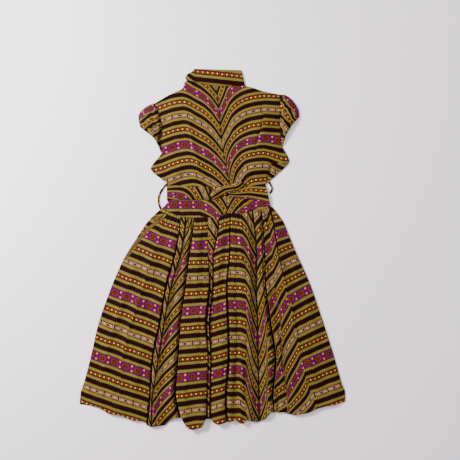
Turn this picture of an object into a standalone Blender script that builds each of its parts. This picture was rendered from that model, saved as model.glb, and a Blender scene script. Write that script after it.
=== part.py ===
"""Ankara wax print dress, laid flat and face up on its back.

Frame: metres, +X to the right as seen from above, +Y from the hem to the collar, +Z up from the
surface it lies on. The origin is on that surface, at the middle of the dress's length and width.
Tables hold millimetres.
"""

from collections import namedtuple

import bpy
import numpy as np

NAME = "ankara_wax_print_dress"

# Driving sizes, in millimetres.
WALL = 1.2
GAP = 0.3
LAYER = WALL + GAP
TUBE_WALL = 1.0
BELT_WALL = 1.6
WAIST_Y = 185.0

# Steps between neighbouring lines and levels of the tables below.
STEPS_DOWN = 2
BODICE_STEPS_ACROSS = 2
SKIRT_STEPS_ACROSS = 3
BELT_STEPS_ALONG = 2
BELT_PLACES_ACROSS = 5

# Heights of the middle of each cloth above the surface.
BACK_Z = WALL / 2
FRONT_Z = BACK_Z + LAYER
WAIST_BACK_Z = BACK_Z + LAYER
WAIST_FRONT_Z = WAIST_BACK_Z + LAYER
BELT_Z = 6.3
KNOT_Z = 11.2
FOLD_LOW_Z = 2.2
FOLD_TOP_Z = 7.8
TUBE_TOP_Z = 3.9

# Roundness of the curves through the tables' points: 0 is straight, 1 is fully round.
ROUNDNESS = 0.6

# Olive, wine black, magenta and gold print, averaged over each piece.
PRINT_COLOUR = (0.20, 0.13, 0.05, 1.0)
PRINT_ROUGHNESS = 0.72

# Bodice: each row is a line from the top edge to the waist; x and y at ten levels.
BODICE_LEVELS = ("top", "yoke", "chest", "bust", "arm", "armpit", "tip", "roll", "belt", "waist")
BODICE_RISE = (0.20, 0.55, 0.90, 1.0, 1.0, 0.90, 1.0, 0.55, 0.0, 0.0)
Line = namedtuple("Line", "name lift points")
BODICE_LINES = (
    Line("side_left", 0.0, ((-192, 482), (-178, 452), (-170, 424), (-168, 396), (-175, 362),
                            (-168, 320), (-205, 266), (-166, 229), (-146, 214), (-147, WAIST_Y))),
    Line("outer_left", 5.0, ((-148, 508), (-138, 479), (-130, 448), (-125, 417), (-123, 381),
                             (-116, 332), (-124, 276), (-104, 239), (-96, 214), (-96, WAIST_Y))),
    Line("crease_left", 9.0, ((-100, 531), (-92, 501), (-86, 468), (-79, 434), (-71, 392),
                              (-62, 341), (-50, 283), (-43, 243), (-40, 214), (-40, WAIST_Y))),
    Line("neck_left", 7.0, ((-84, 557), (-70, 514), (-60, 474), (-50, 438), (-40, 395),
                            (-30, 344), (-16, 286), (-6, 245), (0, 214), (2, WAIST_Y))),
    Line("spine", 7.0, ((10, 540), (16, 508), (20, 474), (23, 438), (27, 395),
                        (32, 345), (43, 288), (51, 246), (57, 214), (58, WAIST_Y))),
    Line("neck_right", 8.0, ((107, 540), (112, 505), (116, 470), (117, 433), (112, 390),
                             (105, 345), (106, 290), (110, 250), (112, 214), (112, WAIST_Y))),
    Line("crease_right", 9.0, ((167, 523), (169, 491), (170, 459), (168, 424), (160, 384),
                               (151, 345), (153, 291), (150, 251), (146, 214), (146, WAIST_Y))),
    Line("side_right", 0.0, ((225, 511), (225, 481), (223, 451), (224, 418), (226, 380),
                             (231, 340), (254, 289), (209, 242), (177, 214), (176, WAIST_Y))),
)

# Skirt: eight levels from the waist seam (y from each line) down to the hem (likewise): the y of
# those between, and how far the folds rise at each.
SKIRT_Y = (None, 60, -20, -120, -240, -360, -480, None)
SKIRT_RISE = (0.35, 0.80, 0.90, 0.90, 0.90, 0.95, 1.0, 1.15)
SkirtLine = namedtuple("SkirtLine", "name lift seam_y hem_y x")
SKIRT_LINES = {
    line.name: line
    for line in (
        SkirtLine("side_left", 0.0, 138, -513, (-165, -225, -287, -333, -376, -404, -434, -440)),
        SkirtLine("wing_left", 5.0, 119, -550, (-137, -168, -208, -245, -276, -302, -324, -330)),
        SkirtLine("edge_left", 6.0, 106, -573, (-109, -113, -130, -157, -176, -201, -216, -220)),
        SkirtLine("arrow_left", 4.0, 105, -588, (-90, -93, -106, -136, -159, -179, -197, -200)),
        SkirtLine("flank_left", 4.0, 105, -582, (-75, -79, -91, -112, -131, -147, -158, -157)),
        SkirtLine("pleat_a", 6.0, 104, -560, (-60, -65, -77, -91, -106, -116, -121, -110)),
        SkirtLine("crown_a", 9.0, 105, -597, (-38, -39, -45, -51, -64, -66, -70, -64)),
        SkirtLine("pleat_b", 6.0, 106, -562, (-16, -14, -14, -12, -24, -16, -20, -21)),
        SkirtLine("pleat_c", 6.0, 101, -562, (24, 20, 5, 1, -10, -4, -8, -8)),
        SkirtLine("crown_c", 9.0, 116, -580, (41, 38, 30, 22, 18, 23, 14, 18)),
        SkirtLine("pleat_d", 6.0, 118, -569, (58, 56, 55, 45, 48, 53, 41, 45)),
        SkirtLine("crown_d", 9.0, 118, -573, (92, 94, 97, 96, 98, 95, 92, 94)),
        SkirtLine("arrow_right", 5.0, 129, -573, (130, 140, 146, 145, 149, 151, 153, 155)),
        SkirtLine("pleat_f", 6.0, 131, -542, (163, 169, 177, 178, 196, 211, 198, 206)),
        SkirtLine("crease_g", 5.0, 135, -537, (180, 203, 221, 241, 268, 291, 325, 340)),
        SkirtLine("wing_right", 3.0, 139, -519, (187, 221, 251, 284, 318, 349, 382, 392)),
        SkirtLine("side_right", 0.0, 144, -505, (193, 239, 281, 325, 366, 404, 436, 440)),
    )
}

# The skirt front's cloth from left to right: smooth panels, with a folded-over edge between
# neighbours. "over" is the side whose cloth lies on top of the other at that edge.
Panel = namedtuple("Panel", "lines")
Fold = namedtuple("Fold", "line over")
SKIRT_FRONT = (
    Panel(("side_left", "wing_left", "edge_left")),
    Fold("edge_left", "left"),
    Panel(("edge_left", "arrow_left", "flank_left", "pleat_a")),
    Fold("pleat_a", "right"),
    Panel(("pleat_a", "crown_a", "pleat_b")),
    Fold("pleat_b", "left"),
    Panel(("pleat_b", "pleat_c")),
    Fold("pleat_c", "right"),
    Panel(("pleat_c", "crown_c", "pleat_d")),
    Fold("pleat_d", "left"),
    Panel(("pleat_d", "crown_d", "arrow_right", "pleat_f")),
    Fold("pleat_f", "right"),
    Panel(("pleat_f", "crease_g", "wing_right", "side_right")),
)
FOLD_DEPTH = (5.0, 12.0)
FOLD_TURN = 1.3
BACK_HEM_SETBACK = 4.0

# Midriff: rows from the seam to the waist, how far the front puffs, and where its lower edge
# climbs over the belt's back stretch.
MIDRIFF_ROWS = 6
MIDRIFF_PUFF = 2.6
OVER_BELT_Y = 137.0
OVER_BELT_RUN = 8.0

# Sleeves: outer edge from the shoulder to the cuff, and the cuff from there to the armpit.
Sleeve = namedtuple("Sleeve", "name side out crown cuff")
SLEEVES = (
    Sleeve("sleeve_left", "side_left", -1,
           ((-192, 482), (-214, 474), (-230, 461), (-242, 446), (-244, 430), (-239, 404)),
           ((-239, 404), (-224, 391), (-208, 379), (-195, 368), (-186, 356), (-179, 341), (-172, 324))),
    Sleeve("sleeve_right", "side_right", 1,
           ((225, 511), (240, 509), (257, 498), (273, 479), (284, 459), (286, 436)),
           ((286, 436), (273, 421), (260, 404), (248, 385), (241, 370), (237, 357), (234, 346))),
)
SLEEVE_PUFF = (1.0, 3.0, 4.0, 3.0, 1.0)
SLEEVE_CLEARANCE = 0.9

# Collar: the left and the right folded edge, from the neck seam to the open top.
COLLAR_LEFT = ((-84, 557), (-89, 567), (-82, 579), (-70, 586), (-58, 596.6))
COLLAR_RIGHT = ((107, 540), (104, 553), (101, 566), (98, 579), (94, 592))
COLLAR_PUFF = (0.5, 1.5, 2.0, 1.5, 1.0)

# Belt: upper and lower edges of each stretch, from left to right.
BELT_LEFT_UPPER = ((-150, 216), (-109, 209), (-66, 206), (-24, 207), (7, 205), (29, 208), (48, 209))
BELT_LEFT_LOWER = ((-150, 161), (-118, 163), (-67, 163), (-37, 164), (-12, 162), (18, 171), (46, 178))
BELT_RIGHT_UPPER = ((60, 193), (86, 197), (118, 206), (148, 208), (177, 207))
BELT_RIGHT_LOWER = ((56, 172), (90, 168), (118, 165), (150, 158), (191, 147))
KNOT_UPPER = ((-6, 182), (12, 200), (34, 211), (60, 217), (84, 222))
KNOT_LOWER = ((6, 168), (28, 181), (50, 186), (72, 195), (92, 207))
BELT_ROLL = 1.8
KNOT_ROLL = 1.5
BELT_BACK_EDGES = (158.0, 210.0)
BELT_BACK_ENDS = (-149.0, 178.0)

# Belt loops: the middle of each strap, from its upper end to its lower end.
LOOP_LEFT = ((-156, 212), (-168, 198), (-176, 183), (-180, 168), (-180, 155), (-176, 143), (-172, 136))
LOOP_RIGHT = ((190, 218), (196, 211), (198, 203), (197, 195), (194, 189))
LOOP_WIDTH = 6.0


def curve(rows, steps):
    """Points on a curve through the rows, with the given steps between neighbours."""
    rows = np.asarray(rows, dtype=float)
    tangents = np.empty_like(rows)
    tangents[1:-1] = (rows[2:] - rows[:-2]) / 2
    tangents[0] = rows[1] - rows[0]
    tangents[-1] = rows[-1] - rows[-2]
    tangents = tangents * ROUNDNESS
    points = []
    for start, end, leave, arrive in zip(rows, rows[1:], tangents, tangents[1:]):
        for step in range(steps):
            t = step / steps
            points.append(
                start * (2 * t**3 - 3 * t**2 + 1)
                + leave * (t**3 - 2 * t**2 + t)
                + end * (3 * t**2 - 2 * t**3)
                + arrive * (t**3 - t**2)
            )
    points.append(rows[-1])
    return np.array(points)


def resample(rows, count):
    """The given count of points, evenly spread along the straight line through the rows."""
    rows = np.asarray(rows, dtype=float)
    reach = np.concatenate(([0.0], np.cumsum(np.linalg.norm(np.diff(rows, axis=0), axis=1))))
    at = np.linspace(0.0, reach[-1], count)
    return np.stack([np.interp(at, reach, rows[:, axis]) for axis in range(rows.shape[1])], axis=1)


def blend(edge_a, edge_b, cap_a, cap_b):
    """A patch bounded by four curves: from edge_a across to edge_b, with its ends on the caps."""
    across = np.linspace(0.0, 1.0, len(cap_a))[:, None, None]
    along = np.linspace(0.0, 1.0, len(edge_a))[None, :, None]
    ruled = edge_a[None] * (1 - across) + edge_b[None] * across
    capped = cap_a[:, None] * (1 - along) + cap_b[:, None] * along
    corners = (
        edge_a[0] * (1 - across) * (1 - along)
        + edge_b[0] * across * (1 - along)
        + edge_a[-1] * (1 - across) * along
        + edge_b[-1] * across * along
    )
    return ruled + capped - corners


def cloth(name, grid, wall, collection, ring=False):
    """A cloth object: the grid of middle points, given thickness by Solidify.

    With ring, each of the grid's rows closes on itself.
    """
    rows, columns = grid.shape[:2]
    last = columns if ring else columns - 1
    faces = [
        (
            row * columns + column,
            (row + 1) * columns + column,
            (row + 1) * columns + (column + 1) % columns,
            row * columns + (column + 1) % columns,
        )
        for row in range(rows - 1)
        for column in range(last)
    ]
    mesh = bpy.data.meshes.new(name)
    mesh.from_pydata((grid.reshape(-1, 3) / 1000).tolist(), [], faces)
    mesh.update()
    thing = bpy.data.objects.new(name, mesh)
    collection.objects.link(thing)
    mesh.materials.append(print_material(name))
    thickness = thing.modifiers.new("thickness", "SOLIDIFY")
    thickness.thickness = wall / 1000
    thickness.offset = 0.0
    return thing


def print_material(name):
    """The printed cotton of one piece."""
    material = bpy.data.materials.new(name + "_print")
    material.use_nodes = True
    shader = material.node_tree.nodes["Principled BSDF"]
    shader.inputs["Base Color"].default_value = PRINT_COLOUR
    shader.inputs["Roughness"].default_value = PRINT_ROUGHNESS
    shader.inputs["Metallic"].default_value = 0.0
    return material


def bodice_grid(lines, across, levels_z, puff):
    """The bodice's middle points: rows from the top edge to the waist, columns left to right."""
    cage = []
    for line in lines:
        rise = np.array(BODICE_RISE) * line.lift * puff
        cage.append(np.column_stack([line.points, np.array(levels_z) + rise]))
    columns = curve(cage, across)
    grid = curve(columns.transpose(1, 0, 2), STEPS_DOWN)
    floor = curve(np.array(levels_z)[:, None], STEPS_DOWN)
    grid[..., 2] = np.maximum(grid[..., 2], floor)
    return grid


def bodice(collection):
    """The front, softly puffed, on the pressed back. Returns the front's grid."""
    front_z = (FRONT_Z,) * 8 + (WAIST_FRONT_Z,) * 2
    back_z = (BACK_Z,) * 8 + (WAIST_BACK_Z,) * 2
    front = bodice_grid(BODICE_LINES, BODICE_STEPS_ACROSS, front_z, 1.0)
    back = bodice_grid(BODICE_LINES, 1, back_z, 0.0)
    for name, grid in (("bodice_front", front), ("bodice_back", back)):
        lifted = grid.copy()
        lifted[-1, :, 1] += GAP
        cloth(name, lifted, WALL, collection)
    return front


def flat_tube(upper, puff, turn):
    """Closed rows round a flattened tube: the puffed upper cloth, then the flat lower one.

    upper holds the middle points seen from above, and puff each row's height. At both folded
    edges the cloth turns over with a point moved out by turn, given for each row and edge.
    """
    rows, columns = upper.shape[:2]
    bulge = np.sin(np.linspace(0.0, np.pi, columns)) ** 0.8
    top = np.concatenate([upper, (TUBE_TOP_Z + puff[:, None] * bulge[None])[..., None]], axis=2)
    under = np.concatenate([upper[:, ::-1], np.full((rows, columns, 1), TUBE_WALL / 2)], axis=2)
    height = (TUBE_TOP_Z + TUBE_WALL / 2) / 2
    ends = []
    for edge in (-1, 0):
        middle = np.concatenate([upper[:, edge] + turn[edge], np.full((rows, 1), height)], axis=1)
        ends.append(middle[:, None])
    return np.concatenate([top, ends[0], under, ends[1]], axis=1)


def sleeves(collection, front):
    """Puffed cap sleeves, open at the armhole and at the cuff."""
    armpit_row = STEPS_DOWN * BODICE_LEVELS.index("armpit")
    column = {"side_left": 0, "side_right": -1}
    for sleeve in SLEEVES:
        away = np.array((sleeve.out * (GAP + SLEEVE_CLEARANCE), 0.0))
        armhole = front[: armpit_row + 1, column[sleeve.side], :2] + away
        crown = resample(sleeve.crown, len(SLEEVE_PUFF))
        crown[0] = armhole[0]
        cuff = resample(sleeve.cuff, len(armhole))
        underarm = resample((armhole[-1], cuff[-1]), len(SLEEVE_PUFF))
        upper = blend(armhole, cuff, crown, underarm)
        outward = np.array((sleeve.out * 0.6, 0.6))
        turn = {0: outward, -1: np.array((sleeve.out * 0.4, -0.8))}
        grid = flat_tube(upper, np.array(SLEEVE_PUFF), turn)
        cloth(sleeve.name, grid, TUBE_WALL, collection, ring=True)


def collar(collection, front):
    """A tall collar laid flat: a ring of cloth, open at the top, on the neck seam's points."""
    names = [line.name for line in BODICE_LINES]
    first = BODICE_STEPS_ACROSS * names.index("neck_left")
    last = BODICE_STEPS_ACROSS * names.index("neck_right")
    seam = front[0, first : last + 1, :2] + np.array((0.0, 2 * GAP))
    left = np.array(COLLAR_LEFT, dtype=float)
    right = np.array(COLLAR_RIGHT, dtype=float)
    left[0] = seam[0]
    right[0] = seam[-1]
    top = resample((left[-1], right[-1]), len(seam))
    upper = blend(seam, top, left, right)
    turn = {0: np.array((-1.2, 0.0)), -1: np.array((1.2, 0.0))}
    grid = flat_tube(upper, np.array(COLLAR_PUFF), turn)
    cloth("collar", grid, TUBE_WALL, collection, ring=True)


def skirt_column(name):
    """A skirt line from the waist seam to the hem: x, y and the lift above its lowest place."""
    line = SKIRT_LINES[name]
    y = [line.seam_y, *SKIRT_Y[1:-1], line.hem_y]
    lift = [line.lift * rise for rise in SKIRT_RISE]
    return curve(np.column_stack([line.x, y, lift]), STEPS_DOWN)


def fold_columns(fold):
    """The hidden cloth of a folded-over edge, in order from the left."""
    line = skirt_column(fold.line)
    rows = len(line)
    toward = 1.0 if fold.over == "right" else -1.0
    depth = np.linspace(*FOLD_DEPTH, rows)
    middle_z = (FOLD_LOW_Z + FOLD_TOP_Z) / 2
    stops = (
        (depth, FOLD_LOW_Z),
        (depth + FOLD_TURN, (FOLD_LOW_Z + middle_z) / 2),
        (depth, middle_z),
        (np.full(rows, FOLD_TURN), middle_z),
        (np.zeros(rows), (middle_z + FOLD_TOP_Z) / 2),
    )
    columns = [
        np.column_stack([line[:, 0] + toward * shift, line[:, 1], np.full(rows, height)])
        for shift, height in stops
    ]
    return columns if fold.over == "right" else columns[::-1]


def panel_columns(position):
    """The columns of the smooth panel at this position in SKIRT_FRONT."""
    panel = SKIRT_FRONT[position]
    cage = [skirt_column(name) for name in panel.lines]
    for middle in cage[1:-1]:
        middle[:, 2] += FOLD_LOW_Z
    before = SKIRT_FRONT[position - 1] if position else None
    after = SKIRT_FRONT[position + 1] if position + 1 < len(SKIRT_FRONT) else None
    lowest = FRONT_Z
    for edge, fold, side, inward in ((cage[0], before, "right", 1.0), (cage[-1], after, "left", -1.0)):
        if fold is None:
            edge[:, 2] = FRONT_Z
        elif fold.over == side:
            edge[:, 0] += inward * FOLD_TURN
            edge[:, 2] = FOLD_TOP_Z
            lowest = FOLD_LOW_Z
        else:
            edge[:, 2] = FOLD_LOW_Z
    columns = curve(cage, 1 if len(cage) == 2 else SKIRT_STEPS_ACROSS)
    columns[..., 2] = np.maximum(columns[..., 2], lowest)
    return list(columns)


def seam_height(x):
    """The waist seam's y at each x, straight between the skirt's lines."""
    lines = SKIRT_LINES.values()
    return np.interp(x, [line.x[0] for line in lines], [line.seam_y for line in lines])


def skirt(collection):
    """The full front with its folded-over pleats, on the pressed back."""
    columns = []
    for position, piece in enumerate(SKIRT_FRONT):
        if isinstance(piece, Panel):
            columns += panel_columns(position)
        else:
            columns += fold_columns(piece)
    front = np.array(columns).transpose(1, 0, 2)
    front[0, :, 1] = seam_height(front[0, :, 0]) - GAP
    cloth("skirt_front", front, WALL, collection)

    outline = [skirt_column(name) for name in SKIRT_LINES]
    back = np.array(outline).transpose(1, 0, 2)
    back[..., 2] = BACK_Z
    back[0, :, 1] -= GAP
    back[-1, 1:-1, 1] += BACK_HEM_SETBACK
    cloth("skirt_back", back, WALL, collection)


def midriff(collection):
    """The fitted band between the bodice and the skirt, front and back."""
    left, right = BODICE_LINES[0].points[-1][0], BODICE_LINES[-1].points[-1][0]
    seam_x = np.array([line.x[0] for line in SKIRT_LINES.values()], dtype=float)
    seam_y = seam_height(seam_x) + GAP
    place = (seam_x - seam_x[0]) / (seam_x[-1] - seam_x[0])
    top_x = left + (right - left) * place
    bump = np.sin(np.pi * place) ** 0.5
    rise = np.linspace(0.0, 1.0, MIDRIFF_ROWS)[:, None]
    taper = 1 - (1 - rise) ** 4
    x = seam_x + (top_x - seam_x) * taper
    y = seam_y + (WAIST_Y - GAP - seam_y) * rise
    over_belt = np.clip((y - OVER_BELT_Y) / OVER_BELT_RUN, 0.0, 1.0)
    back_z = BACK_Z + LAYER * over_belt
    front_z = back_z + LAYER + MIDRIFF_PUFF * bump * (1 - rise) ** 1.5
    cloth("midriff_back", np.stack([x, y, back_z], axis=2), WALL, collection)
    cloth("midriff_front", np.stack([x, y, front_z], axis=2), WALL, collection)


def strip(upper, lower, base_z, rise):
    """A band between two edges: rows along it, columns across, risen by rise at mid-length."""
    upper = curve(upper, BELT_STEPS_ALONG)
    lower = curve(lower, BELT_STEPS_ALONG)
    across = np.linspace(0.0, 1.0, BELT_PLACES_ACROSS)[None, :, None]
    flat = lower[:, None] * (1 - across) + upper[:, None] * across
    hump = rise * np.sin(np.linspace(0.0, np.pi, len(upper)))
    roll = BELT_ROLL * np.sin(np.linspace(0.0, np.pi, BELT_PLACES_ACROSS))
    z = base_z + hump[:, None] + roll[None]
    return np.concatenate([flat, z[..., None]], axis=2)


def belt(collection):
    """The sash: two stretches and a twist in front, and a plain stretch under the waist."""
    left = strip(BELT_LEFT_UPPER, BELT_LEFT_LOWER, BELT_Z, 0.0)
    right = strip(BELT_RIGHT_UPPER, BELT_RIGHT_LOWER, BELT_Z, 0.0)
    twist = strip(KNOT_UPPER, KNOT_LOWER, KNOT_Z, KNOT_ROLL)
    cloth("belt_front_left", left, BELT_WALL, collection)
    cloth("belt_front_right", right, BELT_WALL, collection)
    cloth("belt_twist", twist, BELT_WALL, collection)

    ends = np.linspace(*BELT_BACK_ENDS, BELT_PLACES_ACROSS)
    low, high = BELT_BACK_EDGES
    rows = [[(x, y, BACK_Z) for y in (low, (low + high) / 2, high)] for x in ends]
    cloth("belt_back", np.array(rows), WALL, collection)


def belt_loops(collection):
    """The two carrier straps that stand out from the waist, one at each side."""
    for name, middle in (("belt_loop_left", LOOP_LEFT), ("belt_loop_right", LOOP_RIGHT)):
        route = curve(middle, STEPS_DOWN)
        along = np.gradient(route, axis=0)
        along /= np.linalg.norm(along, axis=1)[:, None]
        sideways = np.column_stack([-along[:, 1], along[:, 0]]) * LOOP_WIDTH / 2
        edges = np.stack([route - sideways, route + sideways], axis=1)
        level = np.full(edges.shape[:2] + (1,), BACK_Z)
        cloth(name, np.concatenate([edges, level], axis=2), WALL, collection)


def main():
    """Build the dress's pieces in a collection of its name."""
    for thing in list(bpy.data.objects):
        bpy.data.objects.remove(thing, do_unlink=True)
    collection = bpy.data.collections.new(NAME)
    bpy.context.scene.collection.children.link(collection)
    front = bodice(collection)
    sleeves(collection, front)
    collar(collection, front)
    midriff(collection)
    skirt(collection)
    belt(collection)
    belt_loops(collection)


main()
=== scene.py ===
"""Ankara wax print dress laid flat and face up: the finished cloth, its print, floor and light.

Frame: +X to the right as seen from above, +Y from the hem to the collar, +Z up from the surface the
dress lies on. Shapes are worked out in millimetres and become metres when a mesh is made.
"""

import logging
from collections.abc import Sequence
from dataclasses import dataclass, field
from enum import Enum
from math import pi, tau

import bpy
import numpy as np
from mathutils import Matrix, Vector


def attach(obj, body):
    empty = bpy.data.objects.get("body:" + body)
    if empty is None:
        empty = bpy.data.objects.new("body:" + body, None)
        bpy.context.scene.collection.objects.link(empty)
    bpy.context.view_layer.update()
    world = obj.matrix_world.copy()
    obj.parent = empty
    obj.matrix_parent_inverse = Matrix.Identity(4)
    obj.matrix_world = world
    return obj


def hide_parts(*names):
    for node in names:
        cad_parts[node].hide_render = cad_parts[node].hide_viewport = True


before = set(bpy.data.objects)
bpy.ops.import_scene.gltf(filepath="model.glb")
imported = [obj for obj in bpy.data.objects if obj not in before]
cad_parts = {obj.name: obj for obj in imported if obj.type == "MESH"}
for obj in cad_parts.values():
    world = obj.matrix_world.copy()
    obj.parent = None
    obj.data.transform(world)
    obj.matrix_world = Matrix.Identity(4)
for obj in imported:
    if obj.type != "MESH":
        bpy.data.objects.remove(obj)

Array = np.ndarray
Number = float | int
Colour = tuple[float, float, float, float]
Point = tuple[float, float]
Socket = bpy.types.NodeSocket

LOG = logging.getLogger("ankara_dress")
MM = 0.001
SHELL = 0.7
TUBE_SHELL = 0.6
GAP = 0.3
ROUNDNESS = 0.75
BACK_Z = 0.6
FRONT_Z = 2.1
WAIST_BACK_Z = 2.1
WAIST_FRONT_Z = 3.6
WAIST_Y = 185.0
FAR = 400.0
WAVES = 7
# The half widths of the dark line and of the green one inside it, down a chevron's middle.
# Under the first, the same mark also paints shade dark, deep in the skirt's folds and the sleeves' gathers.
DARK_MIDDLE_AND_SHADE = 2.6
MIDDLE_GREEN = 0.9


class Side(Enum):
    """The side whose cloth lies on top where the skirt folds over itself."""

    LEFT = "left"
    RIGHT = "right"


class Hold(Enum):
    """How a sheet of cloth is held."""

    LAID = "laid"
    GATHERED = "gathered"
    FOLDED = "folded"


# ---------------------------------------------------------------------------------------------
# Curves and grids


def places(steps: Sequence[int]) -> Array:
    """Positions along a table's rows: whole numbers at the rows, evenly divided between them.

    Args:
        steps: How many parts each span between neighbouring rows is divided into.

    Returns:
        The positions, from 0 to the number of spans.
    """
    spans = [start + np.arange(count) / count for start, count in enumerate(steps)]
    return np.concatenate([*spans, [float(len(steps))]])


def spline(rows: Array, at: Array, roundness: float = ROUNDNESS) -> Array:
    """Cardinal spline: cubic between two rows, leaving along the chord of their neighbours.

    Args:
        rows: Values at whole positions, any shape after the first axis.
        at: Positions to work out.
        roundness: 0 goes straight from row to row, 1 is fully round.

    Returns:
        The values at those positions.
    """
    rows = np.asarray(rows, dtype=float)
    tangents = np.empty_like(rows)
    tangents[1:-1] = (rows[2:] - rows[:-2]) / 2
    tangents[0] = rows[1] - rows[0]
    tangents[-1] = rows[-1] - rows[-2]
    tangents = tangents * roundness
    low = np.clip(at.astype(int), 0, len(rows) - 2)
    t = (at - low).reshape((-1,) + (1,) * (rows.ndim - 1))
    return (
        rows[low] * (2 * t**3 - 3 * t**2 + 1)
        + tangents[low] * (t**3 - 2 * t**2 + t)
        + rows[low + 1] * (3 * t**2 - 2 * t**3)
        + tangents[low + 1] * (t**3 - t**2)
    )


def resample(rows: Array, count: int) -> Array:
    """Points evenly spread along the straight line through the rows.

    Args:
        rows: Corners of the line.
        count: How many points to return.

    Returns:
        The points, the first and last rows included.
    """
    rows = np.asarray(rows, dtype=float)
    reach = np.concatenate([[0.0], np.cumsum(np.linalg.norm(np.diff(rows, axis=0), axis=1))])
    at = np.linspace(0.0, reach[-1], count)
    return np.stack([np.interp(at, reach, rows[:, axis]) for axis in range(rows.shape[1])], axis=1)


def rounded(rows: Sequence[Point], count: int, roundness: float = ROUNDNESS) -> Array:
    """The given count of even points on the spline through the rows."""
    fine = spline(np.array(rows, dtype=float), places([24] * (len(rows) - 1)), roundness)
    return resample(fine, count)


def graph(table: Sequence[Point], x: Array) -> Array:
    """A smooth curve through a table of (x, value) rows, read at each x and flat past its ends."""
    fine = spline(np.array(table, dtype=float), places([12] * (len(table) - 1)), 0.8)
    return np.interp(x, np.maximum.accumulate(fine[:, 0]), fine[:, 1])


def blend(edge_a: Array, edge_b: Array, cap_a: Array, cap_b: Array) -> Array:
    """Coons patch: the two ruled surfaces between facing edges, less the one through the corners.

    Args:
        edge_a: First edge, the grid's first row.
        edge_b: Last edge, the grid's last row.
        cap_a: Curve from edge_a's start to edge_b's start.
        cap_b: Curve from edge_a's end to edge_b's end.

    Returns:
        The grid of points.
    """
    across = np.linspace(0.0, 1.0, len(cap_a))[:, None, None]
    along = np.linspace(0.0, 1.0, len(edge_a))[None, :, None]
    ruled = edge_a[None] * (1 - across) + edge_b[None] * across
    capped = cap_a[:, None] * (1 - along) + cap_b[:, None] * along
    corners = (
        edge_a[0] * (1 - across) * (1 - along)
        + edge_b[0] * across * (1 - along)
        + edge_a[-1] * (1 - across) * along
        + edge_b[-1] * across * along
    )
    return ruled + capped - corners


def ease(x: Array, low: float, high: float) -> Array:
    """Smooth step: 0 at low, 1 at high, level at both."""
    t = np.clip((x - low) / (high - low), 0.0, 1.0)
    return t * t * (3 - 2 * t)


def stripe_length(x: Array, level: Array, y: Array, z: Array, start: int) -> Array:
    """Distance along the stripes: each step's width, the stripe's rise over it and the cloth's.

    Args:
        x, y, z: The grid's points, in millimetres.
        level: The print's level at each point.
        start: The column where the distance is 0.

    Returns:
        Signed distance of each point from the start column.
    """
    slope = np.diff(level - y, axis=1)
    step = np.sqrt(np.diff(x, axis=1) ** 2 + slope**2 + np.diff(z, axis=1) ** 2)
    total = np.concatenate([np.zeros((len(x), 1)), np.cumsum(step, axis=1)], axis=1)
    return total - total[:, start : start + 1]


# ---------------------------------------------------------------------------------------------
# Relief


@dataclass(frozen=True)
class Crease:
    """A soft ridge, or a trough where height is negative, along a few given points."""

    points: tuple[Point, ...]
    height: float
    width: float
    jog: float = 0.0

    def reach(self, x: Array, y: Array) -> tuple[Array, Array]:
        """Signed distance from the crease, and how far along it the nearest point is.

        The distance is the least of those to its straight stretches, with the sign of the side.

        Args:
            x: Where to measure, across.
            y: Where to measure, up.

        Returns:
            The distance, positive on the right of a crease drawn downwards, and the fraction.
        """
        corners = np.array(self.points, dtype=float)
        spans = np.linalg.norm(np.diff(corners, axis=0), axis=1)
        starts = np.concatenate([[0.0], np.cumsum(spans)])
        best = np.full(x.shape, np.inf)
        signed = np.zeros(x.shape)
        along = np.zeros(x.shape)
        for a, b, span, start in zip(corners, corners[1:], spans, starts):
            way = (b - a) / span
            t = np.clip((x - a[0]) * way[0] + (y - a[1]) * way[1], 0.0, span)
            away_x, away_y = x - a[0] - way[0] * t, y - a[1] - way[1] * t
            gap = np.hypot(away_x, away_y)
            closer = gap < best
            side = np.sign(way[0] * away_y - way[1] * away_x)
            signed = np.where(closer, gap * side, signed)
            along = np.where(closer, (start + t) / starts[-1], along)
            best = np.minimum(best, gap)
        return signed, along

    def apply(self, x: Array, y: Array) -> tuple[Array, Array]:
        """Height and print shift: a bell across the crease that fades towards its ends.

        Args:
            x: Where to work them out, across.
            y: Where to work them out, up.

        Returns:
            The height and the shift of the print's level, in millimetres.
        """
        gap, along = self.reach(x, y)
        fade = np.sin(pi * np.clip(along, 0.02, 0.98)) ** 0.6
        height = self.height * np.exp(-((gap / self.width) ** 2)) * fade
        shift = self.jog * 0.6 * np.tanh(gap / 1.2) * np.exp(-np.abs(gap) / 18.0) * fade
        return height, shift


def creased(x: Array, y: Array, creases: Sequence[Crease]) -> tuple[Array, Array]:
    """The sum of several creases' heights and print shifts."""
    height, shift = np.zeros(x.shape), np.zeros(x.shape)
    for crease in creases:
        rise, slide = crease.apply(x, y)
        height += rise
        shift += slide
    return height, shift


def ripple(x: Array, y: Array, size: float, seed: int) -> Array:
    """Uneven swell between about -1 and 1: a few sine waves of like size in turned directions."""
    random = np.random.default_rng(seed)
    total = np.zeros(x.shape)
    turns = random.uniform(0, tau, WAVES)
    stretches = random.uniform(0.7, 1.6, WAVES)
    starts = random.uniform(0, tau, WAVES)
    for turn, stretch, start in zip(turns, stretches, starts):
        total += np.sin((x * np.cos(turn) + y * np.sin(turn)) * tau / (size * stretch) + start)
    return total / 3.2


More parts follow.
